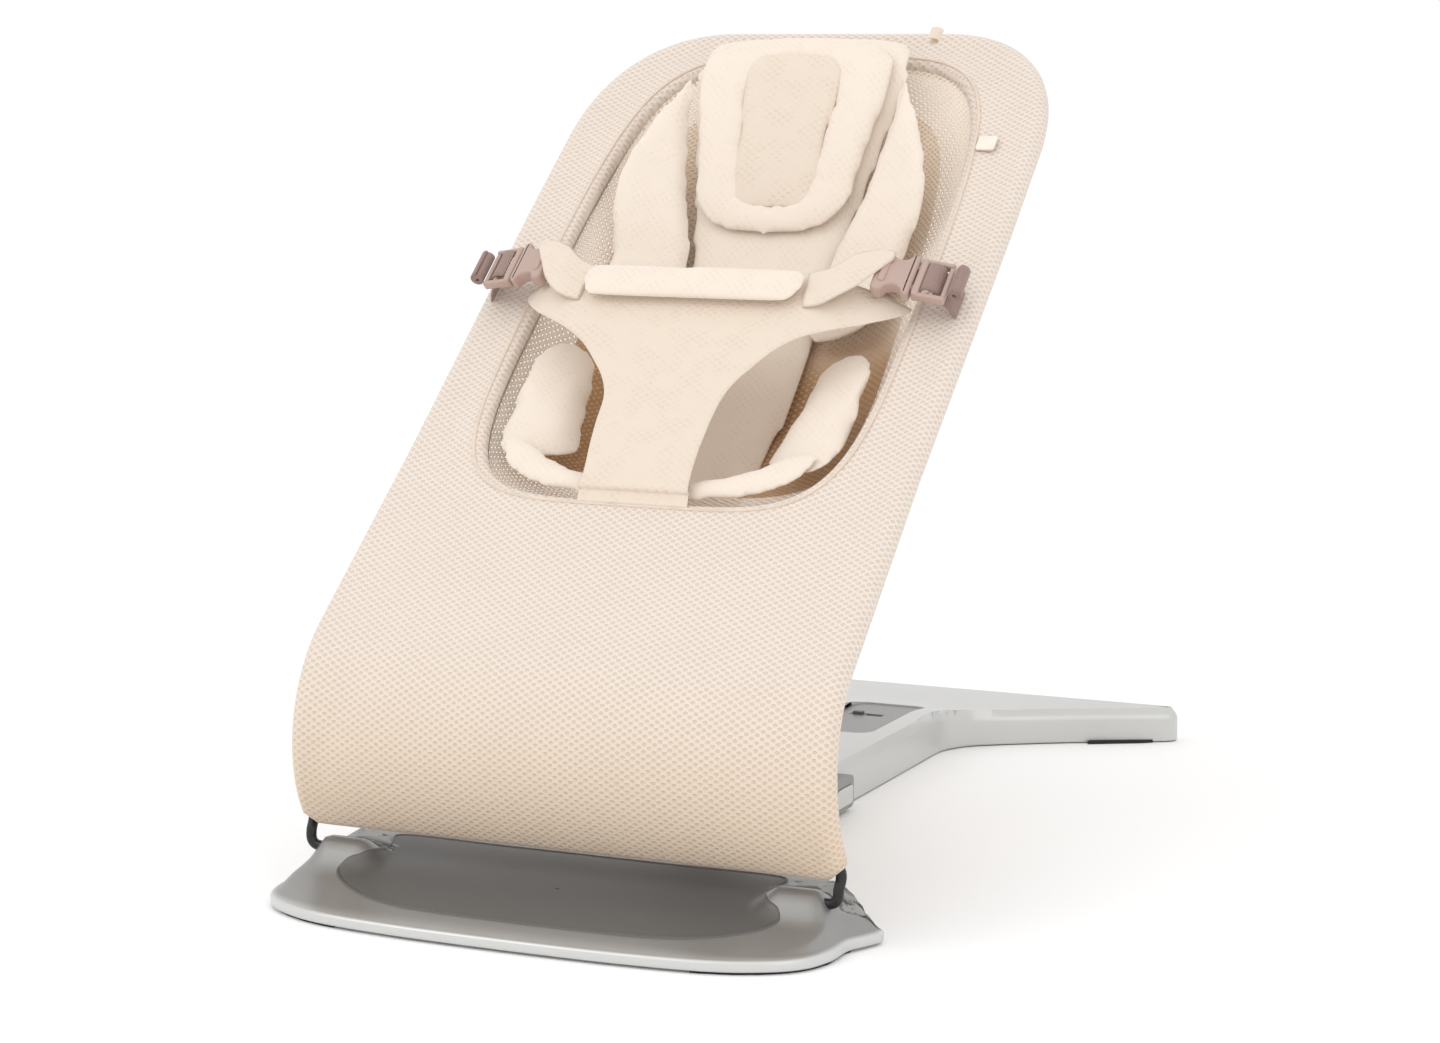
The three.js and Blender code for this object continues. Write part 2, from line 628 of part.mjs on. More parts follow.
// Moves a flat-made piece (x, s, h) onto the straight part of the seat.
function onSeat(g) {
  const a = rad(RECLINE);
  const m = new THREE.Matrix4().makeBasis(V(1, 0, 0), V(0, cos(a), sin(a)), V(0, -sin(a), cos(a)));
  m.setPosition(
    0,
    STRAIGHT_Y - STRAIGHT_S * cos(a),
    STRAIGHT_Z - STRAIGHT_S * sin(a),
  );
  return g.clone().applyMatrix4(m);
}

// The clamp hugs the inner rear side of the tube, out of sight from the front.
const clampInner = sideX - 30;
const clampBody = seatBlock(clampInner, sideX + 1, barS - 15, barS + 15, TUBE_H - 20, TUBE_H + 1);
const tubeBore = onSeat(post(0, 0, -40, 40, TUBE_R + CLEAR, 16).rotateX(PI / 2).translate(sideX, barS, TUBE_H));
const socketLine = [alongBar(40), alongBar(20), alongBar(-0.7)];
const barSocket = tube(socketLine, CROSSBAR_R + 0.7, { sides: 16, steps: 4 });
const screwS = barS + 11.3;
const screwH = TUBE_H - 9;
const screwHole = onSeat(pin(clampInner - 2, sideX - 8, screwS, screwH, 2.4, 10));
addPair("bar_clamp", cut(clampBody, tubeBore, barSocket, screwHole), "black");
const clampScrew = join(
  pin(clampInner - 2.6, clampInner - 0.4, screwS, screwH, 4, 12),
  pin(clampInner - 1, sideX - 9, screwS, screwH, 2, 10),
);
addPair("clamp_screw", onSeat(clampScrew), "steel");

// ---------------------------------------------------------------- arm and shoe
// The arm is drawn flat, u along it from the shoe pin to the crossbar, then tilted into place.
const ARM_TILT = Math.atan2(BAR_Z - PIVOT_Z, ARM_REACH);
function onArm(g) {
  return g.clone().rotateX(PI - ARM_TILT).translate(0, SHOE_Y, PIVOT_Z);
}
const EYE_R = 8;
const EYE_HALF = 5.5;
const PIN_R = 3;
const SLEEVE_R = CROSSBAR_R + 4;
const SLEEVE_HALF = 46;
const armHalf = [
  [EYE_HALF, 0],
  [EYE_HALF, SHOE_HALF_LENGTH + 5],
  [10, SHOE_HALF_LENGTH + 20],
  [10, 112],
  [22, 150],
  [34, 176],
  [38, ARM_LENGTH],
];
const armPlate = raised(mirrored(armHalf.map(([x, u]) => [x, u])), -5, 5);
const window = raised(mirrored([[0, 168], [14, 176], [20, ARM_LENGTH - 16], [0, ARM_LENGTH - 16]]), -9, 9);
const armFlat = cut(
  join(
    armPlate,
    pin(-EYE_HALF, EYE_HALF, 0, 0, EYE_R, 16),
    pin(-SLEEVE_HALF, SLEEVE_HALF, ARM_LENGTH, 0, SLEEVE_R, 20),
  ),
  window,
  pin(-20, 20, 0, 0, PIN_R + CLEAR, 12),
  pin(-70, 70, ARM_LENGTH, 0, CROSSBAR_R + 0.7, 20),
);
add("support_arm", onArm(armFlat), "black");
addPair("arm_collar", onArm(
  cut(
    pin(SLEEVE_HALF + 1, SLEEVE_HALF + 8, ARM_LENGTH, 0, SLEEVE_R - 0.5, 18),
    pin(0, 90, ARM_LENGTH, 0, CROSSBAR_R + CLEAR, 18),
  ),
), "steel");

const shoe = cut(
  box(
    -TRACK_HALF + 1,
    TRACK_HALF - 1,
    SHOE_Y - SHOE_HALF_LENGTH,
    SHOE_Y + SHOE_HALF_LENGTH,
    TRACK_FLOOR + 0.8,
    SPINE_TOP - 1,
  ),
  box(-EYE_HALF - 0.7, EYE_HALF + 0.7, SHOE_Y - 30, SHOE_Y + 11, PIVOT_Z - EYE_R - 1, 60),
  pin(-20, 20, SHOE_Y, PIVOT_Z, PIN_R + CLEAR, 12),
);
add("slide_shoe", shoe, "grey");
add("shoe_pin", pin(-TRACK_HALF + 1.4, TRACK_HALF - 1.4, SHOE_Y, PIVOT_Z, PIN_R, 12), "steel");

// ---------------------------------------------------------------- cover
// Opening of the cover, by angle, as [x, s] rings about its middle.
const OPEN_MID = (OPEN_LOW + OPEN_HIGH) / 2;
const SQUARE = 5; // squareness of the rounded outline
function openingAt(a, grow = 0) {
  const w = OPEN_HALF + grow;
  const l = (OPEN_HIGH - OPEN_LOW) / 2 + grow;
  const c = cos(a);
  const d = sin(a);
  const narrow = d > 0 ? 1 - 0.12 * d * d : 1;
  const k = pow(pow(abs(c), SQUARE) + pow(abs(d), SQUARE), -1 / SQUARE);
  return [w * k * c * narrow, OPEN_MID + l * k * d];
}

// Closed line that the sleeve follows, from the middle of the hem round by the right side.
const HEM_S = HEM_S0 + EDGE + 0.5;
const hemCorner = frameHalf(HEM_S) - 5;
const outerHalf = [
  ...[0, 0.25, 0.5, 0.75, 1].map((f) => [f * hemCorner, HEM_S]),
  ...frameLine(HEM_S + 5),
  [0, FRAME_TOP],
];
const outer = [...outerHalf, ...outerHalf.slice(1, -1).reverse().map(([x, s]) => [-x, s])];
const AROUND = outer.length;
const openLong = (OPEN_HIGH - OPEN_LOW) / 2;
const angles = outer.map(([x, s]) => Math.atan2((s - OPEN_MID) / openLong, x / OPEN_HALF));
const normals = outer.map((p, i) => {
  const [ax, as] = outer[(i + AROUND - 1) % AROUND];
  const [bx, bs] = outer[(i + 1) % AROUND];
  const l = hypot(bx - ax, bs - as);
  return [(bs - as) / l, -(bx - ax) / l];
});

// A row of the cover: f from the opening to the frame, then round the tube by angle w, then the flap.
function coverRow(f, w, flap, off) {
  return outer.map(([ox, os], i) => {
    const [nx, ns] = normals[i];
    const r = WRAP_MID + off;
    if (w === null) {
      const [ix, is] = openingAt(angles[i]);
      return seat(lerp(ix, ox, f), lerp(is, os, f), off);
    }
    const out = r * cos(w);
    const h = TUBE_H + r * sin(w);
    return seat(ox + nx * (out - flap), os + ns * (out - flap), h);
  });
}
function coverSide(off) {
  const rows = [0, 0.22, 0.42, 0.62, 0.81].map((f) => coverRow(f, null, 0, off));
  for (const w of [90, 40, 0, -45, -90]) rows.push(coverRow(1, rad(w), 0, off));
  rows.push(coverRow(1, rad(-90), 16, off));
  return rows;
}
const half = FABRIC / 2;
const sleeveGaps = [
  tube(wire.slice(1), WIRE_R + 1.6, { sides: 8, steps: 12 }),
  seatBlock(clampInner - 3, sideX + 3, barS - 18, barS + 18, TUBE_H - 40, TUBE_H + 2.4),
];
const coverBlank = skin([...coverSide(half), ...coverSide(-half).reverse()], true);
add("seat_cover", cut(coverBlank, ...sleeveGaps, ...sleeveGaps.map(mirror)), "cover");

// ---------------------------------------------------------------- pouch and insert
const pouchDepth = [[OPEN_LOW, 40], [340, 60], [420, 60], [520, 44], [620, 26], [700, 12], [OPEN_HIGH, 6]];
const POUCH_EDGE = 5; // the pouch reaches this far behind the cover

// 0 at the middle of the opening, 1 at the sewn edge of the pouch.
function reach(x, s) {
  const l = (OPEN_HIGH - OPEN_LOW) / 2 + POUCH_EDGE;
  const d = min(1, max(0, (s - OPEN_MID) / l));
  const w = (OPEN_HALF + POUCH_EDGE) * (1 - 0.12 * d * d);
  return min(1, pow(pow(abs(x) / w, SQUARE) + pow(abs(s - OPEN_MID) / l, SQUARE), 1 / SQUARE));
}
const pouchAt = (x, s) => -FABRIC - 1.6 - along(pouchDepth, s) * (1 - pow(reach(x, s), 4));

function pouchRow(f, off) {
  return angles.map((a) => {
    const [x, s] = openingAt(a, POUCH_EDGE);
    const px = x * f;
    const ps = OPEN_MID + (s - OPEN_MID) * f;
    return seat(px, ps, pouchAt(px, ps) + off);
  });
}
const POUCH_RINGS = [0.3, 0.6, 0.8, 0.92, 1];
const pouchOuter = POUCH_RINGS.map((f) => pouchRow(f, -half));
const pouchInner = POUCH_RINGS.map((f) => pouchRow(f, half)).reverse();
add("seat_pouch", skin([...pouchOuter, ...pouchInner], false), "mesh");

// The insert rests in the pouch. Along the seat: the height of its middle, how far its sides rise,
// where that rise starts and where the sides end.
const INSERT_LOW = 286;
const INSERT_HIGH = 744;
const INSERT_MID = (INSERT_LOW + INSERT_HIGH) / 2;
const INSERT_THICK = 20;
const insertMiddle = [
  [286, -14], [310, -38], [345, -50], [400, -52], [470, -45], [538, -30],
  [593, -11], [644, 11], [690, 30], [715, 32], [744, 16],
];
const insertRise = [
  [286, 6], [310, 24], [345, 34], [400, 36], [470, 28], [532, 12], [594, 18], [641, 12], [690, 3],
];
const riseFrom = [[300, 54], [470, 56], [538, 51], [593, 65], [644, 77], [690, 82]];
const insertHalf = [
  [286, 92], [322, 122], [352, 130], [388, 131], [425, 126], [460, 120], [500, 116],
  [560, 128], [594, 129], [641, 111], [690, 88], [744, 76],
];
function insertAt(x, s) {
  const from = along(riseFrom, s);
  const t = min(1.2, max(0, (abs(x) - from) / max(10, along(insertHalf, s) - from)));
  return along(insertMiddle, s) + along(insertRise, s) * t * t * (1.7 - 0.7 * t);
}
const ringAngles = angles.map((_, i) => 2 * PI * (i / AROUND) - PI / 2);
function insertRow(f, front) {
  return ringAngles.map((a) => {
    const l = (INSERT_HIGH - INSERT_LOW) / 2;
    const k = pow(pow(abs(cos(a)), 4) + pow(abs(sin(a)), 4), -0.25);
    const s = INSERT_MID + l * k * sin(a) * f;
    const x = along(insertHalf, s) * k * cos(a) * f;
    const overCover = s > OPEN_HIGH - 22 ? half + 0.7 : -99;
    const top = insertAt(x, s);
    const back = max(pouchAt(x, s) + half + 5, overCover, top - INSERT_THICK);
    return seat(x, s, front ? max(top, back + 3) : back);
  });
}
const INSERT_RINGS = [0.25, 0.5, 0.72, 0.88, 0.97];
const insertBack = INSERT_RINGS.map((f) => insertRow(f, false));
const insertTop = INSERT_RINGS.map((f) => insertRow(f, true)).reverse();
add("insert_pad", skin([...insertBack, ...insertTop], false), "quilt");

// Long soft pads given by a centre line of [x, s, h] with half width and half height per point.
function pad(line, across, high, { sides = 10, steps = 12 } = {}) {
  const curve = new THREE.CatmullRomCurve3(line.map((p) => V(...p)), false, "centripetal");
  const rows = [];
  for (let i = 0; i <= steps; i++) {
    const t = i / steps;
    const p = curve.getPointAt(t);
    const d = curve.getTangentAt(t);
    const side = V(d.y, -d.x, 0).normalize();
    const round = pow(max(0, sin(PI * lerp(0.06, 0.94, t))), 0.5);
    const row = [];
    for (let j = 0; j < sides; j++) {
      const a = (2 * PI * j) / sides;
      const u = across * round * cos(a);
      const h = high * round * sin(a);
      row.push(seat(p.x + side.x * u, p.y + side.y * u, p.z + h));
    }
    rows.push(row);
  }
  return skin(rows, false);
}

// A soft pad that lies on the insert from s0 to s1, between two lines that give x for each s.
const PAD_GAP = 0.6;
function bandPad(s0, s1, inner, outer, high) {
  const rows = [];
  const steps = 13;
  for (let i = 0; i <= steps; i++) {
    const t = i / steps;
    const s = lerp(s0, s1, t);
    const round = pow(sin(PI * lerp(0.06, 0.94, t)), 0.5);
    const mid = (inner(s) + outer(s)) / 2;
    const wide = ((outer(s) - inner(s)) / 2) * lerp(0.4, 1, round);
    const row = [];
    for (let j = 0; j <= 8; j++) {
      const x = mid + wide * cos((PI * j) / 8);
      const dome = high * round * pow(sin((PI * j) / 8), 0.7);
      row.push(seat(x, s, max(insertAt(x, s), pouchAt(x, s) + 13) + 3.6 + dome));
    }
    for (const u of [-0.7, 0, 0.7]) {
      const x = mid + wide * u;
      row.push(seat(x, s, max(insertAt(x, s), pouchAt(x, s) + 13) + PAD_GAP + 2));
    }
    rows.push(row);
  }
  return skin(rows, false);
}
const sideOf = (s) => along(insertHalf, s);
const seamOf = (s) => along(riseFrom, s);
addPair("insert_wing", bandPad(490, 706, (s) => seamOf(s) + 1, (s) => sideOf(s) - 2, 9), "quilt");
addPair("insert_bolster", bandPad(336, 440, (s) => seamOf(s) + 6, (s) => sideOf(s) - 2, 11), "quilt");

// Roll along the low edge of the insert, under the crotch tab.
const rollH = pouchAt(0, 293) + half + 15.2;
const rollEdge = [[-108, 318, rollH], [-70, 299, rollH], [0, 293, rollH], [70, 299, rollH], [108, 318, rollH]];
add("insert_front_roll", pad(rollEdge, 11.5, 6, { steps: 12 }), "quilt");

// Head pillow: a ring, wider at its top, with a flat inset pad.
const PILLOW_MID = 639;
const INSET_MID = 636;
const pillowRise = [[560, 12], [680, 12], [722, 4]]; // how far it stands off the insert
function pillowRing(half0, long0, h, middle = PILLOW_MID) {
  const ring = [];
  for (let i = 0; i < 28; i++) {
    const a = (2 * PI * i) / 28;
    const k = pow(pow(abs(cos(a)), 3) + pow(abs(sin(a)), 3), -1 / 3);
    const x = half0 * k * cos(a) * (1 + 0.13 * sin(a));
    const s = middle + long0 * k * sin(a);
    ring.push(seat(x, s, insertAt(x * 0.9, s) + along(pillowRise, s) + h));
  }
  return ring;
}
const ringProfile = [[73, 83, 1], [75, 85, 8], [67, 79, 15], [53, 68, 16], [40, 60, 11], [34, 56, 3]];
add(
  "head_pillow",
  skin(ringProfile.map(([x, s, h], i) => pillowRing(x, s, h, i > 3 ? INSET_MID : PILLOW_MID)), true),
  "quilt",
);
const insetProfile = [[22, 42, 3], [31, 53, 3], [31, 53, 7], [24, 44, 10], [10, 20, 11]];
add("pillow_inset", skin(insetProfile.map(([x, s, h]) => pillowRing(x, s, h, INSET_MID)), false), "quilt");

// ---------------------------------------------------------------- restraint
// The panel stands away from the seat: its height up its middle and its half width for each s. Its sides
// fall back to the cover beside the sitter.
const PANEL_THICK = 4;
const PANEL_TOP = 464;
const panelCrest = [
  [283, 7.5], [297, 12], [315, 17], [335, 20], [356, 21], [384, 27], [411, 34], [440, 38], [464, 38],
];
const panelHalf = [
  [283, 41], [297, 40], [335, 42], [356, 44], [371, 50], [384, 60], [398, 73],
  [411, 92], [422, 106], [436, OPEN_HALF - 24], [449, OPEN_HALF - 10], [458, OPEN_HALF - 1], [464, OPEN_HALF],
];
const PANEL_FLAT = 84; // half width of the panel's level middle
function panelAt(x, s) {
  const t = min(1, max(0, (abs(x) - PANEL_FLAT) / (OPEN_HALF + 1 - PANEL_FLAT)));
  return along(panelCrest, s) - 31 * pow(t, 1.4);
}
function slab(stops, halfAt, heightAt, thick) {
  const fractions = [-1, -0.84, -0.68, -0.5, -0.25, 0, 0.25, 0.5, 0.68, 0.84, 1];
  const rows = stops.map((s) => {
    const top = fractions.map((f) => seat(f * halfAt(s), s, heightAt(f * halfAt(s), s) + thick / 2));
    const under = fractions.map((f) => seat(f * halfAt(s), s, heightAt(f * halfAt(s), s) - thick / 2));
    return [...top, ...under.reverse()];
  });
  return skin(rows, false);
}
const panelStops = [283, 297, 315, 335, 356, 371, 384, 398, 411, 422, 436, 449, 458, PANEL_TOP];
add("restraint_panel", slab(panelStops, (s) => along(panelHalf, s), panelAt, PANEL_THICK), "cover");
const ROLL_S = 444;
const rollLine = [-80, -40, 40, 80].map((x) => [x, ROLL_S, panelAt(x, ROLL_S) + 12]);
add("chest_roll", pad(rollLine, 16, 8, { steps: 10 }), "quilt");

// Crotch tab: joins the panel to the bottom edge of the opening.
const tabShape = roundedRect(-41, 41, OPEN_LOW - 1.5, OPEN_LOW + 4.5, 2);
add("crotch_tab", onSeat(raised(tabShape, FABRIC / 2 + 0.4, 4)), "cover");

// Buckles: the female half stays on the panel, the male half slides out of it along the strap.
const BUCKLE_HALF = 19;
const FEMALE = [OPEN_HALF - 25, OPEN_HALF + 3];
const BUCKLE_H0 = 22;
const BUCKLE_H1 = BUCKLE_H0 + 11;
const BUCKLE_TILT = rad(11); // the outer end leans down to the cover
function tilted(g) {
  return g.clone().translate(-FEMALE[1], 0, -BUCKLE_H0).rotateY(BUCKLE_TILT).translate(FEMALE[1], 0, BUCKLE_H0);
}
const female = cut(
  raised(
    roundedRect(FEMALE[0], FEMALE[1], BUCKLE_S - BUCKLE_HALF, BUCKLE_S + BUCKLE_HALF, 4),
    BUCKLE_H0,
    BUCKLE_H1,
  ),
  box(FEMALE[0] + 6, FEMALE[1] + 9, BUCKLE_S - 13, BUCKLE_S + 13, BUCKLE_H0 + 2.2, BUCKLE_H1 - 2.2),
);
addPair("buckle_female", onSeat(tilted(female)), "buckle");

// Flap of the panel over the inner end of each buckle.
const flapShape = new THREE.Shape(
  [[-26, 436], [-12, 438], [-2, 452], [6, 466], [13, 484], [6, 488], [-12, 478], [-26, 470]].map(
    ([x, s]) => new THREE.Vector2(FEMALE[0] + x, s),
  ),
);
const flapFlat = raised(flapShape, BUCKLE_H1 + 0.6, BUCKLE_H1 + 3.6);
addPair("panel_wing", onSeat(tilted(flapFlat)), "cover");
const maleTop = BUCKLE_H1 - 3;
const maleLow = BUCKLE_H0 + 3;
const male = join(
  raised(roundedRect(FEMALE[1] + 1, FEMALE[1] + 24, BUCKLE_S - 17, BUCKLE_S + 17, 3), maleLow, maleTop),
  box(FEMALE[1] - 14, FEMALE[1] + 3, BUCKLE_S - 12, BUCKLE_S - 7, maleLow, maleTop),
  box(FEMALE[1] - 14, FEMALE[1] + 3, BUCKLE_S + 7, BUCKLE_S + 12, maleLow, maleTop),
  box(FEMALE[1] - 12, FEMALE[1] + 3, BUCKLE_S - 2, BUCKLE_S + 2, maleLow, maleTop),
);
const barGap = (x) => box(x, x + 4.2, BUCKLE_S - 13.5, BUCKLE_S + 13.5, 0, 60);
addPair("buckle_male", onSeat(tilted(cut(male, barGap(FEMALE[1] + 5.5), barGap(FEMALE[1] + 15)))), "buckle");

// Webbing: a loop round the slider bar, then a stub to the frame sleeve.
const WEB = 1.4;
function ribbon(line, width, thick) {
  const left = [];
  const right = [];
  line.forEach(([x, h], i) => {
    const [ax, ah] = line[max(0, i - 1)];
    const [bx, bh] = line[min(line.length - 1, i + 1)];
    const l = hypot(bx - ax, bh - ah);
    left.push([x - ((bh - ah) / l) * thick * 0.5, h + ((bx - ax) / l) * thick * 0.5]);
    right.push([x + ((bh - ah) / l) * thick * 0.5, h - ((bx - ax) / l) * thick * 0.5]);
  });
  const shape = new THREE.Shape([...left, ...right.reverse()].map(([x, h]) => new THREE.Vector2(x, h)));
  const g = new THREE.ExtrudeGeometry(shape, { depth: width, bevelEnabled: false });
  return g.rotateX(PI / 2).translate(0, BUCKLE_S + width / 2, 0);
}
const barX = FEMALE[1] + 12.3;
const strap = [
  [barX - 4.6, maleTop + 1.6],
  [barX + 3.6, maleTop + 1.6],
  [barX + 5, maleTop - 1.5],
  [barX + 5, maleLow - 0.4],
  [barX + 9, maleLow - 5],
  [FEMALE[1] + 29, maleLow - 12],
  [FEMALE[1] + 31, maleLow - 17],
];
addPair("strap_webbing", onSeat(tilted(ribbon(strap, 25, WEB))), "webbing");
const tail = [];
for (let i = 0; i <= 7; i++) {
  const a = lerp(-150, 150, i / 7);
  tail.push([FEMALE[1] + 31.5 + 3.6 * cos(rad(a)), maleTop - 1 + 3.6 * sin(rad(a))]);
}
addPair("strap_tail", onSeat(tilted(ribbon(tail, 25, WEB))), "webbing");

// Blank woven label on the cover and a ribbon loop on the insert.
add("side_label", onSeat(raised(roundedRect(OPEN_HALF - 3, OPEN_HALF + 11, 634, 648, 2), FABRIC / 2 + 0.4, 2.6)), "quilt");
const loopArc = [];
for (let i = 0; i <= 6; i++) {
  const a = rad(lerp(-130, 130, i / 6));
  loopArc.push([104 + 5 * cos(a), 22 + 3 * sin(a)]);
}
add("ribbon_loop", onSeat(ribbon(loopArc, 12, 0.8).translate(0, 234, 24)), "quilt");

root.position.y = -(REAR_EDGE - FOOT_FRONT) / 2;

export default root;
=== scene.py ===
import math
from math import atan2, cos, exp, hypot, log, pi, radians, sin

import bmesh
import bpy
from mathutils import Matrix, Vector


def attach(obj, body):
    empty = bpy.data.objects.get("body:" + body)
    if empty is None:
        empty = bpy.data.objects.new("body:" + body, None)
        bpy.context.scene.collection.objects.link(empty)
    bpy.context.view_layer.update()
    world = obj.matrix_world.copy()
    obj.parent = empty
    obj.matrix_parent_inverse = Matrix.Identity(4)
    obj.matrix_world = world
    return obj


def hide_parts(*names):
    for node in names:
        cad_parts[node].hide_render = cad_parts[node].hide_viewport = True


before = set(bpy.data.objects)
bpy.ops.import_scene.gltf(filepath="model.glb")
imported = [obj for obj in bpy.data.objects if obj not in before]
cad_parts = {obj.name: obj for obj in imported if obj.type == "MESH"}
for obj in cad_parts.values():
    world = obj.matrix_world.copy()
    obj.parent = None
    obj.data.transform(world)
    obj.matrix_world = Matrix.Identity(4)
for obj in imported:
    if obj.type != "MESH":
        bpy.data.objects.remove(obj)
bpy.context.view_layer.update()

# ---------------------------------------------------------------- sizes, in millimetres
SHIFT_Y = -306.0  # hinge line to the middle of the footprint
RECLINE = radians(40.4)
ROLL_R = 104.0
ROLL_TURN = radians(87.6)
HEM_Z = 42.0
NORMAL = radians(90) + RECLINE
HEM_ANGLE = NORMAL + ROLL_TURN
ROLL_Y = -ROLL_R * cos(HEM_ANGLE)
ROLL_Z = HEM_Z - ROLL_R * sin(HEM_ANGLE)
ROLL_LENGTH = ROLL_R * ROLL_TURN
SEAT_LENGTH = ROLL_LENGTH + 610
STRAIGHT_Y = ROLL_Y + ROLL_R * cos(NORMAL)
STRAIGHT_Z = ROLL_Z + ROLL_R * sin(NORMAL)
EDGE = 9.2  # frame tube centre to the silhouette
TUBE_H = -8.4
OPEN_HALF, OPEN_LOW, OPEN_HIGH = 149.0, 277.0, 735.0
OPEN_MID = (OPEN_LOW + OPEN_HIGH) / 2
BUCKLE_S = 474.0
BUCKLE_X, BUCKLE_H = 152.0, 22.0  # joint line of the two halves of a buckle
BUCKLE_TILT = radians(11)
ROLL_S = 444.0
PIVOT_Z = 30.0


def P(x, y, z):
    """Millimetres from the hinge line to the row frame."""
    return Vector((x / 1000, (y + SHIFT_Y) / 1000, z / 1000))


def seat(x, s, h=0.0):
    """x across, s up the seat from the hem, h off its surface."""
    if s < ROLL_LENGTH:
        a = HEM_ANGLE - s / ROLL_R
        return P(x, ROLL_Y + (ROLL_R + h) * cos(a), ROLL_Z + (ROLL_R + h) * sin(a))
    d = s - ROLL_LENGTH
    ny, nz = cos(NORMAL), sin(NORMAL)
    return P(x, STRAIGHT_Y + d * nz + h * ny, STRAIGHT_Z - d * ny + h * nz)


def along(pairs, at):
    if at <= pairs[0][0]:
        return pairs[0][1]
    for (a, va), (b, vb) in zip(pairs, pairs[1:]):
        if at <= b:
            return va + (vb - va) * (at - a) / (b - a)
    return pairs[-1][1]


def lerp(a, b, t):
    return a + (b - a) * t


def smooth(a, b, x):
    t = min(1.0, max(0.0, (x - a) / (b - a)))
    return t * t * (3 - 2 * t)


# ---------------------------------------------------------------- materials
class Nodes:
    """Short way to write a node tree ending in a Principled shader."""

    def __init__(self, name, **principled):
        self.mat = bpy.data.materials.new(name)
        self.mat.use_nodes = True
        self.tree = self.mat.node_tree
        self.bsdf = self.tree.nodes["Principled BSDF"]
        self.out = self.tree.nodes["Material Output"]
        for key, value in principled.items():
            self.bsdf.inputs[key.replace("_", " ")].default_value = value

    def add(self, kind, settings=None, **inputs):
        node = self.tree.nodes.new("ShaderNode" + kind)
        for key, value in (settings or {}).items():
            setattr(node, key, value)
        for key, value in inputs.items():
            by_place = key[0] == "i" and key[1:].isdigit()
            socket = node.inputs[int(key[1:]) if by_place else key.replace("_", " ")]
            if hasattr(value, "is_output"):
                self.tree.links.new(value, socket)
            else:
                socket.default_value = value
        return node

    def math(self, op, a, b=0.0):
        return self.add("Math", {"operation": op}, i0=a, i1=b).outputs[0]

    def noise(self, scale, detail=3.0, rough=0.5, vector=None):
        node = self.add("TexNoise", Scale=scale, Detail=detail, Roughness=rough)
        if vector is not None:
            self.tree.links.new(vector, node.inputs["Vector"])
        return node.outputs["Fac"]

    def position(self):
        return self.add("TexCoord").outputs["Object"]

    def mix(self, factor, a, b):
        node = self.add("Mix", {"data_type": "RGBA"})
        for socket, value in ((node.inputs[0], factor), (node.inputs[6], a), (node.inputs[7], b)):
            if hasattr(value, "is_output"):
                self.tree.links.new(value, socket)
            else:
                socket.default_value = value
        return node.outputs[2]

    def color(self, socket):
        self.tree.links.new(socket, self.bsdf.inputs["Base Color"])

    def rough(self, socket):
        self.tree.links.new(socket, self.bsdf.inputs["Roughness"])

    def bump(self, height, distance, strength=1.0):
        node = self.add("Bump", Height=height, Distance=distance, Strength=strength)
        self.tree.links.new(node.outputs[0], self.bsdf.inputs["Normal"])

    def step(self, lo, hi, value):
        node = self.add(
            "MapRange", {"interpolation_type": "SMOOTHSTEP"}, i0=value, i1=lo, i2=hi, i3=0.0, i4=1.0
        )
        return node.outputs[0]


def rgb(r, g, b):
    """Screen colour, 0 to 255, to linear."""
    return tuple(
        ((c / 255) / 12.92 if c <= 10 else ((c / 255 + 0.055) / 1.055) ** 2.4) for c in (r, g, b)
    ) + (1.0,)


def shade(colour, red, green=None, blue=None):
    """The colour with its channels scaled, all three alike unless each has its own factor."""
    factors = (red, red if green is None else green, red if blue is None else blue)
    return tuple(c * k for c, k in zip(colour[:3], factors)) + (1.0,)


def moulded(name, base, metallic, roughness, grain=0.00004):
    n = Nodes(name, Metallic=metallic, Roughness=roughness)
    pos = n.position()
    broad = n.noise(9.0, 3.0, 0.5, pos)
    fine = n.noise(1400.0, 2.0, 0.6, pos)
    darker = shade(base, 0.9)
    n.color(n.mix(n.math("MULTIPLY", broad, 0.6), base, darker))
    n.rough(
        n.math(
            "ADD",
            n.math("MULTIPLY", n.math("SUBTRACT", fine, 0.5), 0.16),
            n.math("ADD", n.math("MULTIPLY", broad, 0.06), roughness - 0.03),
        )
    )
    n.bump(fine, grain, 0.6)
    return n.mat


DECIMETRE_TURN = 2 * pi * 100  # radians per decimetre of UV, over a wave's length in millimetres


def lattice(n, across, up):
    """Open cells of a knitted mesh on a diamond grid, 1 in a cell's middle. The UV map holds decimetres."""
    uv = n.add("SeparateXYZ", i0=n.add("UVMap", {"uv_map": "UVMap"}).outputs[0])
    u = n.math("MULTIPLY", uv.outputs[0], DECIMETRE_TURN / across)
    v = n.math("MULTIPLY", uv.outputs[1], DECIMETRE_TURN / up)
    waves = n.math("ADD", n.math("COSINE", u), n.math("COSINE", v))
    return n.math("ABSOLUTE", n.math("MULTIPLY", waves, 0.5)), uv


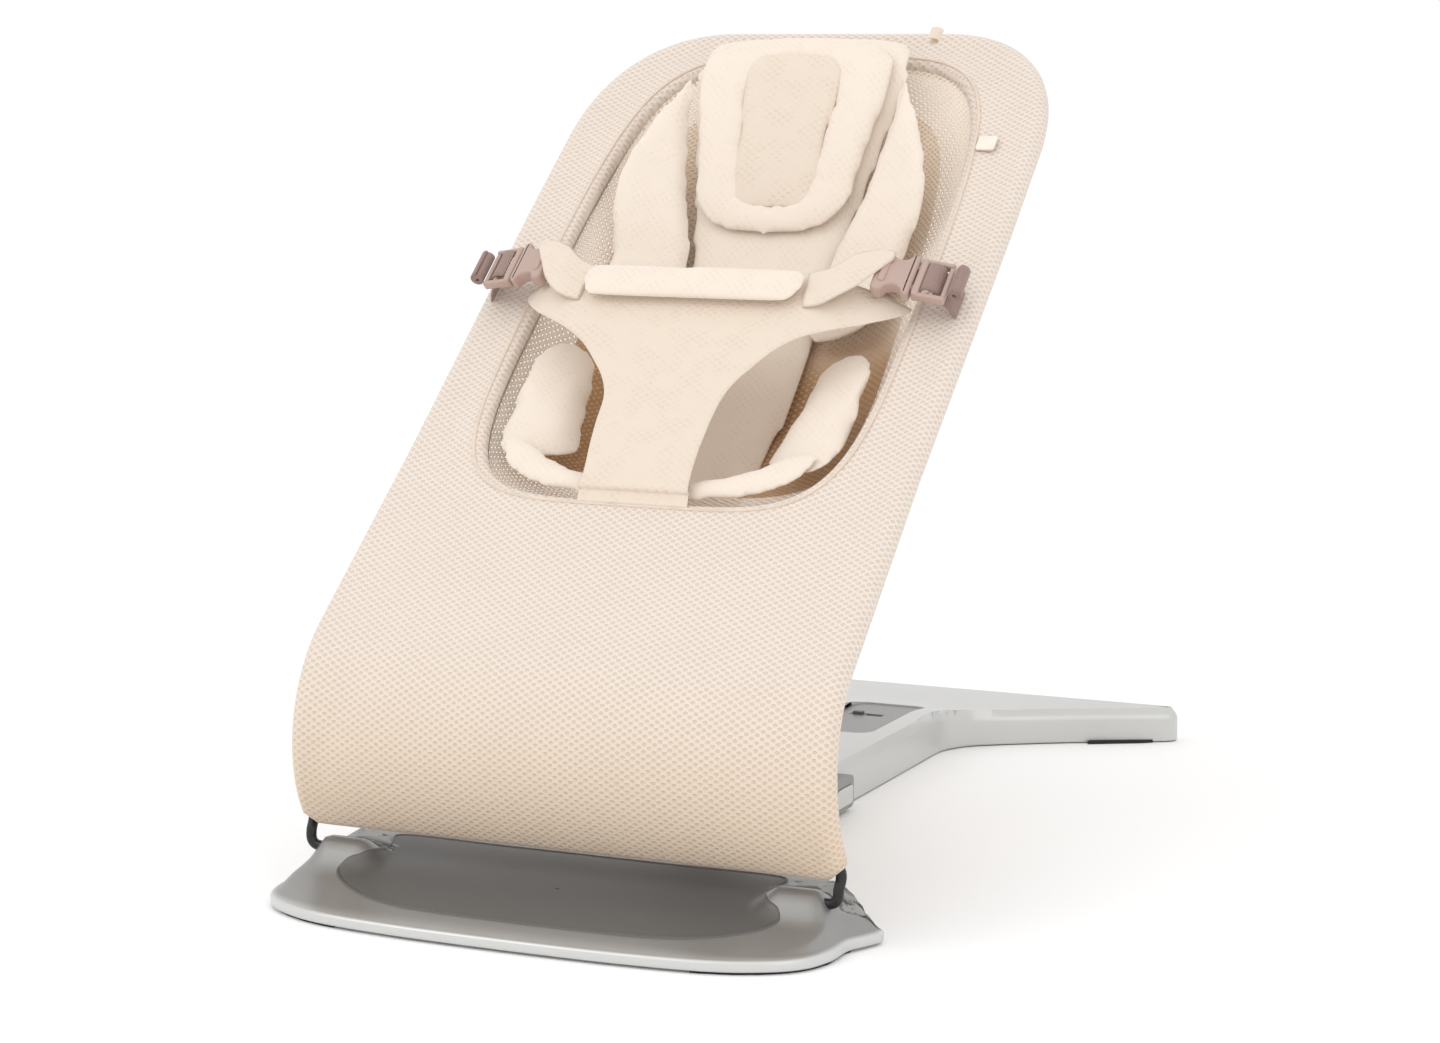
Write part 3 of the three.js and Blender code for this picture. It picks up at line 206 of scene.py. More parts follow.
def air_mesh(name, wall, cell, across=7.4, up=5.0, see_through=False, contrast=1.0, deep=None):
    """Knitted spacer mesh: raised walls round small cells. deep, when given, is painted shade in the piece's
    low part.
    """
    n = Nodes(name, Roughness=0.92)
    n.bsdf.inputs["Sheen Weight"].default_value = 0.25
    n.bsdf.inputs["Sheen Roughness"].default_value = 0.5
    holes, uv = lattice(n, across, up)
    pos = n.position()
    mottle = n.noise(22.0, 3.0, 0.55, pos)
    thread = n.noise(1100.0, 2.0, 0.6, pos)
    cells = n.step(
        0.42, 0.86, n.math("ADD", holes, n.math("MULTIPLY", n.math("SUBTRACT", mottle, 0.5), 0.25))
    )
    tint = n.mix(n.math("MULTIPLY", cells, contrast), wall, cell)
    # Painted shade: towards the hem, below s of 170 mm, the cover is painted warmer and darker through the
    # low mask.
    hem_shade = shade(wall, 0.93, 0.8, 0.62)
    low = n.math("MULTIPLY", n.math("SUBTRACT", 1.0, n.step(-0.1, 1.7, uv.outputs[1])), 0.75)
    tint = n.mix(low, tint, n.mix(n.math("MULTIPLY", cells, contrast), hem_shade, shade(hem_shade, 0.8)))
    tint = n.mix(n.math("MULTIPLY", thread, 0.12), tint, shade(wall, 0.82))
    # Painted shade: the deep part of the pouch, below s of 440 mm, is painted a dark tan.
    if deep:
        tint = n.mix(
            n.step(4.4, 5.0, uv.outputs[1]), n.mix(n.math("MULTIPLY", cells, 0.5), deep, wall), tint
        )
    n.color(tint)
    height = n.math("ADD", n.math("MULTIPLY", cells, -1.0), n.math("MULTIPLY", thread, 0.25))
    n.bump(height, 0.0007, 0.8)
    if see_through:
        clear = n.add("BsdfTransparent")
        pick = n.add(
            "MixShader",
            i0=n.math("MULTIPLY", n.step(0.72, 0.86, holes), 0.7),
            i1=n.bsdf.outputs[0],
            i2=clear.outputs[0],
        )
        n.tree.links.new(pick.outputs[0], n.out.inputs["Surface"])
    return n.mat


def knit(name, base, across=6.0, up=6.0, depth=0.00035):
    """Soft padded knit with a faint repeating texture."""
    n = Nodes(name, Roughness=0.95)
    n.bsdf.inputs["Sheen Weight"].default_value = 0.35
    n.bsdf.inputs["Sheen Roughness"].default_value = 0.45
    holes, _ = lattice(n, across, up)
    pos = n.position()
    mottle = n.noise(60.0, 4.0, 0.6, pos)
    rib = n.noise(1500.0, 2.0, 0.6, pos)
    dim = shade(base, 0.93, 0.9, 0.86)
    patch = n.math("MULTIPLY", n.step(0.35, 0.9, holes), n.step(0.4, 0.62, mottle))
    n.color(
        n.mix(
            n.math("ADD", n.math("MULTIPLY", patch, 0.55), n.math("MULTIPLY", rib, 0.1)), base, dim
        )
    )
    n.bump(
        n.math("ADD", n.math("MULTIPLY", patch, -0.7), n.math("MULTIPLY", rib, 0.35)), depth, 0.7
    )
    return n.mat


def woven(name, base):
    """Flat webbing with cross ribs."""
    n = Nodes(name, Roughness=0.8)
    n.bsdf.inputs["Sheen Weight"].default_value = 0.2
    pos = n.add("SeparateXYZ", i0=n.add("UVMap", {"uv_map": "UVMap"}).outputs[0])
    rib = n.math("SINE", n.math("MULTIPLY", pos.outputs[0], DECIMETRE_TURN / 1.6))
    cross = n.math("SINE", n.math("MULTIPLY", pos.outputs[1], DECIMETRE_TURN / 1.3))
    ribs = n.math("ADD", n.math("MULTIPLY", rib, 0.7), n.math("MULTIPLY", cross, 0.3))
    fuzz = n.noise(900.0, 2.0, 0.5, n.position())
    dark = shade(base, 0.7)
    n.color(
        n.mix(
            n.math(
                "ADD",
                n.math("MULTIPLY", n.math("ADD", ribs, 1.0), 0.3),
                n.math("MULTIPLY", fuzz, 0.2),
            ),
            dark,
            base,
        )
    )
    n.bump(ribs, 0.00025, 0.7)
    return n.mat


SILVER = moulded("silver_moulding", rgb(206, 206, 204), 0.4, 0.34)


def dish_shaded_moulding(name, rim, dish):
    """Silver moulding whose dish is painted darker than its rim, as painted shade from the seat above it."""
    n = Nodes(name, Metallic=0.55, Roughness=0.36)
    pos = n.position()
    height = n.add("SeparateXYZ", i0=pos).outputs[2]
    broad = n.noise(9.0, 3.0, 0.5, pos)
    fine = n.noise(1400.0, 2.0, 0.6, pos)
    # Painted shade: above the rim, from 8.5 mm up, the darker dish colour takes over.
    n.color(
        n.mix(
            n.step(0.0085, 0.0105, n.math("ADD", height, n.math("MULTIPLY", broad, 0.0004))),
            rim,
            dish,
        )
    )
    n.bump(fine, 0.00004, 0.6)
    return n.mat


# The front foot's dish colour is painted shade under the seat; its rim colour is the silver's own tone.
FOOT_SHADED_DISH = dish_shaded_moulding("foot_moulding", rgb(208, 208, 206), rgb(150, 149, 147))
GREY = moulded("grey_moulding", rgb(150, 149, 147), 0.4, 0.42)
INLAY = moulded("dark_inlay", rgb(102, 100, 98), 0.3, 0.42)
STEEL = moulded("plated_steel", rgb(170, 170, 172), 0.95, 0.3)
COATED = moulded("coated_tube", rgb(150, 150, 150), 0.6, 0.4)
BLACK = moulded("black_coat", rgb(24, 24, 25), 0.1, 0.35)
BLACK_PLASTIC = moulded("black_plastic", rgb(34, 34, 35), 0.0, 0.5)
RUBBER = moulded("rubber_foot", rgb(38, 38, 38), 0.0, 0.85)
BUCKLE = moulded("taupe_plastic", rgb(186, 160, 149), 0.05, 0.42)
COVER = air_mesh("cover_mesh", rgb(229, 216, 204), rgb(213, 196, 180), contrast=0.8)
GUSSET = air_mesh("gusset_mesh", rgb(244, 229, 212), rgb(222, 200, 174), 9.0, 7.0, see_through=True)
# Its deep colour is painted shade for the hollow of the pouch.
POUCH = air_mesh("pouch_mesh", rgb(238, 220, 200), rgb(220, 196, 170), deep=rgb(190, 148, 102))
QUILT = knit("quilt_knit", rgb(234, 221, 207))
PANEL = knit("panel_knit", rgb(226, 211, 195), 7.4, 5.0, 0.0006)
BINDING = knit("binding_knit", rgb(226, 210, 194), 2.2, 2.2, 0.0002)
WEBBING = woven("taupe_webbing", rgb(166, 138, 128))
LABEL = knit("label_cloth", rgb(240, 230, 218), 1.6, 1.6, 0.0001)


# ---------------------------------------------------------------- mesh helpers
def placed(name, data):
    """Object of its own in the scene."""
    o = bpy.data.objects.new(name, data)
    bpy.context.scene.collection.objects.link(o)
    return o


def whole(half):
    """Closed loop from its right half, whose first and last points lie on the middle."""
    return half + [(-x, y) for x, y in reversed(half[1:-1])]


def split_edges(o, angle):
    """A clean crease where faces meet at more than the angle, in degrees."""
    o.modifiers.new("edges", "EDGE_SPLIT").split_angle = radians(angle)


def make(name, verts, faces, mat, uv=None):
    """Mesh object. uv gives (across, up) in millimetres for each vertex."""
    me = bpy.data.meshes.new(name)
    me.from_pydata([tuple(v) for v in verts], [], faces)
    if uv:
        layer = me.uv_layers.new(name="UVMap")
        for loop in me.loops:
            a, b = uv[loop.vertex_index]
            layer.data[loop.index].uv = (a / 100, b / 100)
    me.materials.append(mat)
    bm = bmesh.new()
    bm.from_mesh(me)
    bmesh.ops.recalc_face_normals(bm, faces=bm.faces)
    bm.to_mesh(me)
    bm.free()
    for f in me.polygons:
        f.use_smooth = True
    return placed(name, me)


def grid(name, rows, mat, loop=False, ring=True, uv=None, caps=False):
    """Faces over rows of equal length. ring joins each row's ends, loop joins the last row to the first."""
    n = len(rows[0])
    verts = [p for r in rows for p in r]
    faces = []
    for r in range(len(rows) if loop else len(rows) - 1):
        a, b = r * n, ((r + 1) % len(rows)) * n
        for i in range(n if ring else n - 1):
            j = (i + 1) % n
            faces.append((a + i, a + j, b + j, b + i))
    if caps:
        faces.append(tuple(range(n)))
        faces.append(tuple(range(len(verts) - n, len(verts))))
    return make(name, verts, faces, mat, [q for r in uv for q in r] if uv else None)


def curve_points(points, per=8, closed=False):
    """Catmull-Rom line through the points, tuples of any length."""
    n = len(points)
    out = []
    for i in range(n if closed else n - 1):
        p0 = points[(i - 1) % n] if closed or i else points[0]
        p1 = points[i]
        p2 = points[(i + 1) % n]
        p3 = points[(i + 2) % n] if closed or i + 2 < n else points[-1]
        for k in range(per):
            t = k / per
            out.append(
                tuple(
                    0.5 * (
                        2 * b + (c - a) * t + (
                            2 * a - 5 * b + 4 * c - d
                        ) * t * t + (3 * b - a - 3 * c + d) * t**3
                    )
                    for a, b, c, d in zip(p0, p1, p2, p3)
                )
            )
    if not closed:
        out.append(tuple(points[-1]))
    return out


def tube(name, points, r, mat, sides=16, per=8, closed=False):
    """Round rod through points in the row frame; r in millimetres."""
    line = [Vector(p) for p in curve_points([tuple(p) for p in points], per, closed)]
    rows, uv = [], []
    side = None
    run = 0.0
    for i, p in enumerate(line):
        ahead = line[(i + 1) % len(line)] if closed or i + 1 < len(line) else p
        behind = line[i - 1] if closed or i else p
        d = (ahead - behind).normalized()
        if side is None:
            side = d.orthogonal().normalized()
        side = (side - d * side.dot(d)).normalized()
        up = d.cross(side)
        if i:
            run += (p - line[i - 1]).length * 1000
        rows.append(
            [
                p + (side * cos(2 * pi * k / sides) + up * sin(2 * pi * k / sides)) * r / 1000
                for k in range(sides)
            ]
        )
        uv.append([(2 * pi * r * k / sides, run) for k in range(sides)])
    return grid(name, rows, mat, loop=closed, uv=uv, caps=not closed)


def mirrored(o, name):
    """Copy mirrored across the seat's middle."""
    me = o.data.copy()
    for v in me.vertices:
        v.co.x = -v.co.x
    me.flip_normals()
    return placed(name, me)


def apply_modifiers(o):
    dg = bpy.context.evaluated_depsgraph_get()
    me = bpy.data.meshes.new_from_object(o.evaluated_get(dg))
    o.modifiers.clear()
    o.data = me


def rides(o, body, *nodes, slot=None):
    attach(o, body)
    if nodes:
        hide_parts(*nodes)


# ---------------------------------------------------------------- stuffed pads
PRESSURE = 4.0
CLOTH_FRAMES = 20
STIFFNESS = 25
PUCKER_WIDTH = 2.2


def stuffed(name, outline, thick, mat, base, holes=(), cap=9.0, voxel=4.5, grooves=(), puckers=()):
    """A stuffed pad. It is sewn flat from its outline, [x, s] in millimetres, blown up by a cloth simulation,
    grooved along its seams and then laid on the seat, base(x, s) above it."""
    bm = bmesh.new()
    loops = [outline, *holes]
    edges = []
    for loop in loops:
        vs = [bm.verts.new((x / 1000, s / 1000, -thick / 2000)) for x, s in loop]
        edges += [bm.edges.new((vs[i], vs[(i + 1) % len(vs)])) for i in range(len(vs))]
    bmesh.ops.triangle_fill(bm, use_beauty=True, use_dissolve=False, edges=edges)
    top = bmesh.ops.extrude_face_region(bm, geom=bm.faces[:])
    bmesh.ops.translate(
        bm,
        verts=[v for v in top["geom"] if isinstance(v, bmesh.types.BMVert)],
        vec=(0, 0, thick / 1000),
    )
    bmesh.ops.recalc_face_normals(bm, faces=bm.faces)
    me = bpy.data.meshes.new(name)
    bm.to_mesh(me)
    bm.free()
    o = placed(name, me)
    remesh = o.modifiers.new("remesh", "REMESH")
    remesh.mode = "VOXEL"
    remesh.voxel_size = voxel / 1000
    apply_modifiers(o)
    start = [v.co.copy() for v in o.data.vertices]
    cloth = o.modifiers.new("cloth", "CLOTH")
    cloth.settings.use_pressure = True
    cloth.settings.uniform_pressure_force = PRESSURE
    cloth.settings.quality = 6
    cloth.settings.effector_weights.gravity = 0
    cloth.settings.tension_stiffness = STIFFNESS
    cloth.settings.compression_stiffness = STIFFNESS
    cloth.settings.bending_stiffness = 0.4
    cloth.point_cache.frame_start = 1
    cloth.point_cache.frame_end = CLOTH_FRAMES
    scene = bpy.context.scene
    for f in range(1, CLOTH_FRAMES + 1):
        scene.frame_set(f)
    apply_modifiers(o)
    scene.frame_set(1)
    for v, a in zip(o.data.vertices, start):
        d = v.co - a
        if d.length > cap / 1000:
            v.co = a + d * (cap / 1000 / d.length)
    ease = o.modifiers.new("ease", "SMOOTH")
    ease.factor = 0.5
    ease.iterations = 9
    sub = o.modifiers.new("subdivide", "SUBSURF")
    sub.levels = sub.render_levels = 1
    apply_modifiers(o)
    me = o.data
    layer = me.uv_layers.new(name="UVMap")
    flat = [(v.co.x * 1000, v.co.y * 1000, v.co.z * 1000) for v in me.vertices]
    for loop in me.loops:
        x, s, _ = flat[loop.vertex_index]
        layer.data[loop.index].uv = (x / 100, s / 100)
    for v, (x, s, h) in zip(me.vertices, flat):
        if h > 0:
            for line, width, deep in grooves:
                d = near(line, x, s)
                h -= deep * exp(-((d / width) ** 2)) * min(1.0, h / 3)
            for px, ps, dx, ds, long, deep in puckers:
                along_it = (x - px) * dx + (s - ps) * ds
                off = -(x - px) * ds + (s - ps) * dx
                if -4 < along_it < long:
                    h -= deep * exp(-((off / PUCKER_WIDTH) ** 2)) * (1 - along_it / long)
        v.co = seat(x, s, base(x, s) + h)
    me.materials.clear()
    me.materials.append(mat)
    for f in me.polygons:
        f.use_smooth = True
    return o


def near(line, x, s):
    """Distance to a line of [x, s] points."""
    best = 1e9
    for (ax, a), (bx, b) in zip(line, line[1:]):
        ex, es = bx - ax, b - a
        t = max(0.0, min(1.0, ((x - ax) * ex + (s - a) * es) / max(1e-9, ex * ex + es * es)))
        best = min(best, hypot(x - ax - t * ex, s - a - t * es))
    return best


# ---------------------------------------------------------------- cover
WIDTHS = [(0, 1), (120, 0.5), (200, 0.3), (320, 0), (560, 0), (690, -0.25), (800, -0.9)]
FRAME_TOP = SEAT_LENGTH - EDGE
CORNER_X, CORNER_S = 98.0, 122.0


def frame_half(s):
    return 192 + 8 * along(WIDTHS, s) - EDGE


def frame_line(low, fine):
    start = FRAME_TOP - CORNER_S
    count = int((start - low) / fine)
    line = [
        (frame_half(lerp(low, start, i / count)), lerp(low, start, i / count))
        for i in range(count + 1)
    ]
    base = frame_half(start)
    turns = 22
    for i in range(1, turns + 1):
        a = pi / 2 * i / turns
        line.append(
            (base - CORNER_X + CORNER_X * cos(a) ** 0.86, start + CORNER_S * sin(a) ** 0.86)
        )
    return line


def cover_loop(hem_s, fine=9.0):
    corner = frame_half(hem_s) - 5
    hem = [(corner * i / 20, hem_s) for i in range(21)]
    low = frame_line(hem_s + 5, fine)
    top_x = low[-1][0]
    top = [(top_x * (1 - i / 9), FRAME_TOP) for i in range(1, 10)]
    return whole(hem + low + top)


def opening(a, grow=0.0):
    w, l = OPEN_HALF + grow, (OPEN_HIGH - OPEN_LOW) / 2 + grow
    c, d = cos(a), sin(a)
    narrow = 1 - 0.12 * d * d if d > 0 else 1
    k = (abs(c) ** 5 + abs(d) ** 5) ** (-1 / 5)
    return w * k * c * narrow, OPEN_MID + l * k * d


OUTER = cover_loop(EDGE + 0.5)
COUNT = len(OUTER)
ANGLES = [atan2((s - OPEN_MID) / ((OPEN_HIGH - OPEN_LOW) / 2), x / OPEN_HALF) for x, s in OUTER]
OUTWARD = []
for i in range(COUNT):
    (ax, a), (bx, b) = OUTER[i - 1], OUTER[(i + 1) % COUNT]
    l = hypot(bx - ax, b - a)
    OUTWARD.append(((b - a) / l, -(bx - ax) / l))


def drape(x, s, f):
    """Small rise and fall of the stretched cover between the tubes."""
    dip = -2.2 * sin(pi * min(1, f)) * smooth(0, 90, s)
    pull = 1.6 * exp(-(((s - BUCKLE_S) / 26) ** 2)) * exp(-(((abs(x) - 176) / 16) ** 2))
    ripple = 0.35 * sin(s / 23 + 1.3 * sin(x / 47)) * sin(x / 31 + 0.7)
    return dip + pull + ripple * smooth(0, 0.2, f) * smooth(1, 0.7, f)


def cover_side(off):
    rows, uv = [], []
    for inward, h in ((5.0, -9.0), (5.2, -5.5), (4.2, -2.6), (2.4, -0.8)):
        pts = [opening(a, -inward) for a in ANGLES]
        rows.append([seat(x, s, h + off * 0.6) for x, s in pts])
        uv.append(pts)
    steps = 26
    for k in range(steps):
        f = k / steps
        pts = []
        for (ox, os_), a in zip(OUTER, ANGLES):
            ix, is_ = opening(a)
            pts.append((lerp(ix, ox, f), lerp(is_, os_, f)))
        rows.append([seat(x, s, off + drape(x, s, f)) for x, s in pts])
        uv.append(pts)
    for w in (90, 70, 50, 30, 10, -10, -30, -50, -70, -90):
        r = -TUBE_H + off
        out, h = r * cos(radians(w)), TUBE_H + r * sin(radians(w))
        extra = (90 - w) / 180 * pi * r
        rows.append(
            [seat(ox + nx * out, os_ + ns * out, h) for (ox, os_), (nx, ns) in zip(OUTER, OUTWARD)]
        )
        uv.append(
            [(ox + nx * extra, os_ + ns * extra) for (ox, os_), (nx, ns) in zip(OUTER, OUTWARD)]
        )
    for flap in (6, 13, 19):
        r = -TUBE_H + off
        rows.append(
            [
                seat(ox - nx * flap, os_ - ns * flap, TUBE_H - r)
                for (ox, os_), (nx, ns) in zip(OUTER, OUTWARD)
            ]
        )
        uv.append(
            [
                (ox + nx * (r * pi + flap), os_ + ns * (r * pi + flap))
                for (ox, os_), (nx, ns) in zip(OUTER, OUTWARD)
            ]
        )
    return rows, uv


front_rows, front_uv = cover_side(0.8)
back_rows, back_uv = cover_side(-0.8)
cover = grid("cover", front_rows + back_rows[::-1], COVER, loop=True, uv=front_uv + back_uv[::-1])
rides(cover, "seat", "seat_cover", slot="cover_fabric")

# Binding along the opening's edge.
edge_line = [
    seat(*opening(a, 1.6), 1.2 + drape(*opening(a, 1.6), 0.02))
    for a in [2 * pi * k / 180 for k in range(180)]
]
binding = tube("opening_binding", edge_line, 1.1, BINDING, sides=10, per=2, closed=True)
rides(binding, "seat", slot="cover_fabric")

# ---------------------------------------------------------------- pouch of coarse mesh
POUCH_DEPTH = [
    (OPEN_LOW, 40), (340, 60), (420, 60), (520, 44), (620, 26), (700, 12), (OPEN_HIGH, 6)
]


def reach(x, s):
    l = (OPEN_HIGH - OPEN_LOW) / 2 + 5
    d = min(1, max(0, (s - OPEN_MID) / l))
    w = (OPEN_HALF + 5) * (1 - 0.12 * d * d)
    return min(1.0, ((abs(x) / w) ** 5 + (abs(s - OPEN_MID) / l) ** 5) ** (1 / 5))


def pouch_at(x, s):
    return -3.2 - along(POUCH_DEPTH, s) * (1 - reach(x, s) ** 4)


def pouch_side(off, rings):
    rows, uv = [], []
    for f in rings:
        pts = []
        for a in ANGLES:
            x, s = opening(a, 5)
            pts.append((x * f, OPEN_MID + (s - OPEN_MID) * f))
        rows.append([seat(x, s, pouch_at(x, s) + off) for x, s in pts])
        uv.append(
            [(x * (1 + 0.5 * f**6), OPEN_MID + (s - OPEN_MID) * (1 + 0.2 * f**6)) for x, s in pts]
        )
    return rows, uv


inner_rings = [0.04 + 0.76 * k / 14 for k in range(15)]
outer_rings = [0.80 + 0.2 * k / 16 for k in range(17)]
rows, uv = pouch_side(-0.4, inner_rings)
pouch = grid("pouch", rows, POUCH, uv=uv)
rides(pouch, "seat", "seat_pouch", slot="mesh_fabric")
rows, uv = pouch_side(-0.4, outer_rings)
gusset = grid("gusset", rows, GUSSET, uv=uv)
rides(gusset, "seat", slot="mesh_fabric")

# ---------------------------------------------------------------- insert
# Along the seat: height of the insert's middle, rise of its sides, where that starts and ends.
INSERT_MIDDLE = [
    (286, -14), (310, -38), (345, -50), (400, -52), (470, -45), (538, -30), (593, -11), (644, 11),
    (690, 30), (715, 32), (744, 16),
]
INSERT_RISE = [
    (286, 6), (310, 24), (345, 34), (400, 36), (470, 28), (532, 12), (594, 18), (641, 12), (690, 3)
]
RISE_FROM = [(300, 54), (470, 56), (538, 51), (593, 65), (644, 77), (690, 82)]
INSERT_HALF = [
    (286, 92), (322, 122), (352, 130), (388, 131), (425, 126), (460, 120), (500, 116), (560, 128),
    (594, 129), (641, 111), (690, 88), (744, 76),
]


def insert_at(x, s):
    start = along(RISE_FROM, s)
    t = min(1.2, max(0.0, (abs(x) - start) / max(10, along(INSERT_HALF, s) - start)))
    return along(INSERT_MIDDLE, s) + along(INSERT_RISE, s) * t * t * (1.7 - 0.7 * t)


def outline(points, per=6):
    return curve_points(points, per, closed=True)


def both(half):
    """Closed outline from its right half, listed from bottom to top."""
    return half + [(-x, s) for x, s in reversed(half) if abs(x) > 0.01]


def pair(o, node, slot="quilt_fabric"):
    """The mirrored copy of a right-hand piece, and both on the seat."""
    left = mirrored(o, o.name.replace("right", "left"))
    for piece, side in ((o, "right"), (left, "left")):
        rides(piece, "seat", node + "_" + side, slot=slot)


back_half = [
    (0, 304), (48, 306), (58, 330), (60, 400), (62, 470), (64, 538), (74, 593), (84, 644),
    (90, 690), (78, 726), (40, 742), (0, 744),
]
back = stuffed(
    "insert_back",
    outline(both(back_half), 5),
    4,
    QUILT,
    lambda x, s: insert_at(x, s) - 3,
    cap=4,
    voxel=6,
)
rides(back, "seat", "insert_pad", slot="quilt_fabric")

wing_outline = outline(
    [
        (52, 476), (98, 470), (114, 488), (121, 528), (128, 575), (125, 606), (112, 639), (96, 664),
        (84, 684), (80, 668), (76, 644), (70, 618), (64, 593), (57, 566), (50, 538),
    ]
)
wing = stuffed(
    "insert_wing_right",
    wing_outline,
    4,
    QUILT,
    lambda x, s: insert_at(x, s) + 4.5,
    cap=7,
    voxel=4.5,
    grooves=[([(50, 476), (50, 538), (64, 593), (76, 644), (84, 684)], 5, 5)],
)
pair(wing, "insert_wing")

pillow_half = [
    (0, 556), (30, 559), (52, 569), (64, 588), (70, 616), (75, 642), (79, 666), (78, 687),
    (67, 705), (45, 717), (20, 721), (0, 722),
]
hole_half = [
    (0, 584), (17, 585), (25, 595), (28, 620), (31, 644), (33, 664), (30, 680), (15, 688), (0, 688)
]
inset_half = [
    (0, 573), (23, 574), (34, 586), (38, 618), (41, 644), (43, 666), (39, 688), (20, 698), (0, 698)
]
pleats = []
for k in range(30):
    a = 2 * pi * (k + 0.3 * sin(k * 2.1)) / 30
    pleats.append(
        (
            33 * cos(a),
            638 + 58 * sin(a),
            cos(a),
            sin(a),
            15 + 6 * sin(k * 2.4),
            1.5 + 0.7 * sin(k * 1.7),
        )
    )
pillow = stuffed(
    "head_pillow",
    outline(both(pillow_half)),
    7,
    QUILT,
    lambda x, s: insert_at(x * 0.9, s) + 9 - 7 * smooth(675, 722, s),
    holes=[outline(both(hole_half))],
    cap=10,
    voxel=4.0,
    puckers=pleats,
)
rides(pillow, "seat", "head_pillow", slot="quilt_fabric")
inset = stuffed(
    "pillow_inset",
    outline(both(inset_half)),
    3,
    PANEL,
    lambda x, s: insert_at(x, s) + 11 - 4 * smooth(675, 722, s),
    cap=3.5,
    voxel=4.5,
)
rides(inset, "seat", "pillow_inset", slot="quilt_fabric")

side_outline = outline(
    [
        (72, 336), (92, 322), (114, 318), (128, 332), (134, 358), (135, 392), (130, 424),
        (118, 438), (98, 436), (84, 420), (78, 390), (72, 360),
    ]
)
thigh = stuffed(
    "insert_bolster_right",
    side_outline,
    5,
    QUILT,
    lambda x, s: insert_at(x, s) + 7 + 17 * smooth(136, 80, x),
    cap=8,
    voxel=4.5,
)
pair(thigh, "insert_bolster")
front_outline = outline(
    [
        (0, 284), (52, 286), (88, 293), (112, 308), (122, 326), (116, 333), (98, 330), (78, 318),
        (44, 307), (0, 304), (-44, 307), (-78, 318), (-98, 330), (-116, 333), (-122, 326),
        (-112, 308), (-88, 293), (-52, 286),
    ],
    5,
)
front = stuffed(
    "insert_front_roll",
    front_outline,
    6,
    QUILT,
    lambda x, s: max(insert_at(x, s), -1.5) - 2.5 * smooth(60, 0, abs(x)),
    cap=7,
    voxel=4.2,
)
rides(front, "seat", "insert_front_roll", slot="quilt_fabric")

# ---------------------------------------------------------------- restraint
PANEL_CREST = [
    (283, 7.5), (297, 12), (315, 17), (335, 20), (356, 21), (384, 27), (411, 34), (440, 38),
    (464, 38),
]


def panel_at(x, s):
    return along(PANEL_CREST, s) - 31 * min(1.0, max(0.0, (abs(x) - 84) / 66)) ** 1.4


PANEL_SIDE = [
    (s, x)
    for x, s in curve_points(
        [
            (41, 283), (40, 297), (42, 330), (44, 356), (50, 371), (60, 384), (73, 398), (92, 411),
            (108, 422), (127, 436), (141, 450), (148, 460), (149, 465),
        ],
        5,
    )
]


def slab_ring(half, s, height, thick):
    """Closed cross-section of a thin cloth panel at s, with rolled edges."""
    across = [sin(pi / 2 * k / 22) for k in range(-22, 23)]
    upper = [(f * half, s, height(f * half, s) + thick / 2 * (1 - abs(f) ** 30)) for f in across]
    lower = [
        (f * half, s, height(f * half, s) - thick / 2 * (1 - abs(f) ** 30)) for f in across[-2:0:-1]
    ]
    return upper + lower


def slab(name, rows):
    """Closed cloth piece from its rings of (x, s, h)."""
    return grid(
        name,
        [[seat(*p) for p in r] for r in rows],
        PANEL,
        uv=[[p[:2] for p in r] for r in rows],
        caps=True,
    )


panel_rows = [
    slab_ring(along(PANEL_SIDE, s), s, panel_at, 3.4)
    for s in [283 + 181 * k / 60 for k in range(61)]
]
panel = slab("restraint_panel", panel_rows)
rides(panel, "seat", "restraint_panel", slot="cover_fabric")
roll_half = [(0, 427), (60, 427), (77, 429), (84, 437), (85, 450), (80, 459), (60, 461), (0, 462)]
roll = stuffed(
    "chest_roll",
    outline(both(roll_half), 5),
    7,
    QUILT,
    lambda x, s: panel_at(x, ROLL_S) + 9.5,
    cap=7,
    voxel=4.2,
)
rides(roll, "seat", "chest_roll", slot="quilt_fabric")
tab_rows = [
    slab_ring(41.2, s, lambda x, q: 1.8 + 5.7 * smooth(275, 288, q), 2.4)
    for s in [275.5 + 9.5 * k / 8 for k in range(9)]
]
tab = slab("crotch_tab", tab_rows)
rides(tab, "seat", "crotch_tab", slot="cover_fabric")


def tilt(x, s, h):
    """The buckles lean down to the cover at their outer ends."""
    dx, dh = x - BUCKLE_X, h - BUCKLE_H
    return (
        BUCKLE_X + dx * cos(BUCKLE_TILT) + dh * sin(BUCKLE_TILT),
        s,
        BUCKLE_H - dx * sin(BUCKLE_TILT) + dh * cos(BUCKLE_TILT),
    )


def flap_base(x, s):
    lean = BUCKLE_H + 13.2 - (abs(x) - BUCKLE_X) * sin(BUCKLE_TILT)
    return lerp(panel_at(x, s) + 3, lean, smooth(86, 112, abs(x)))


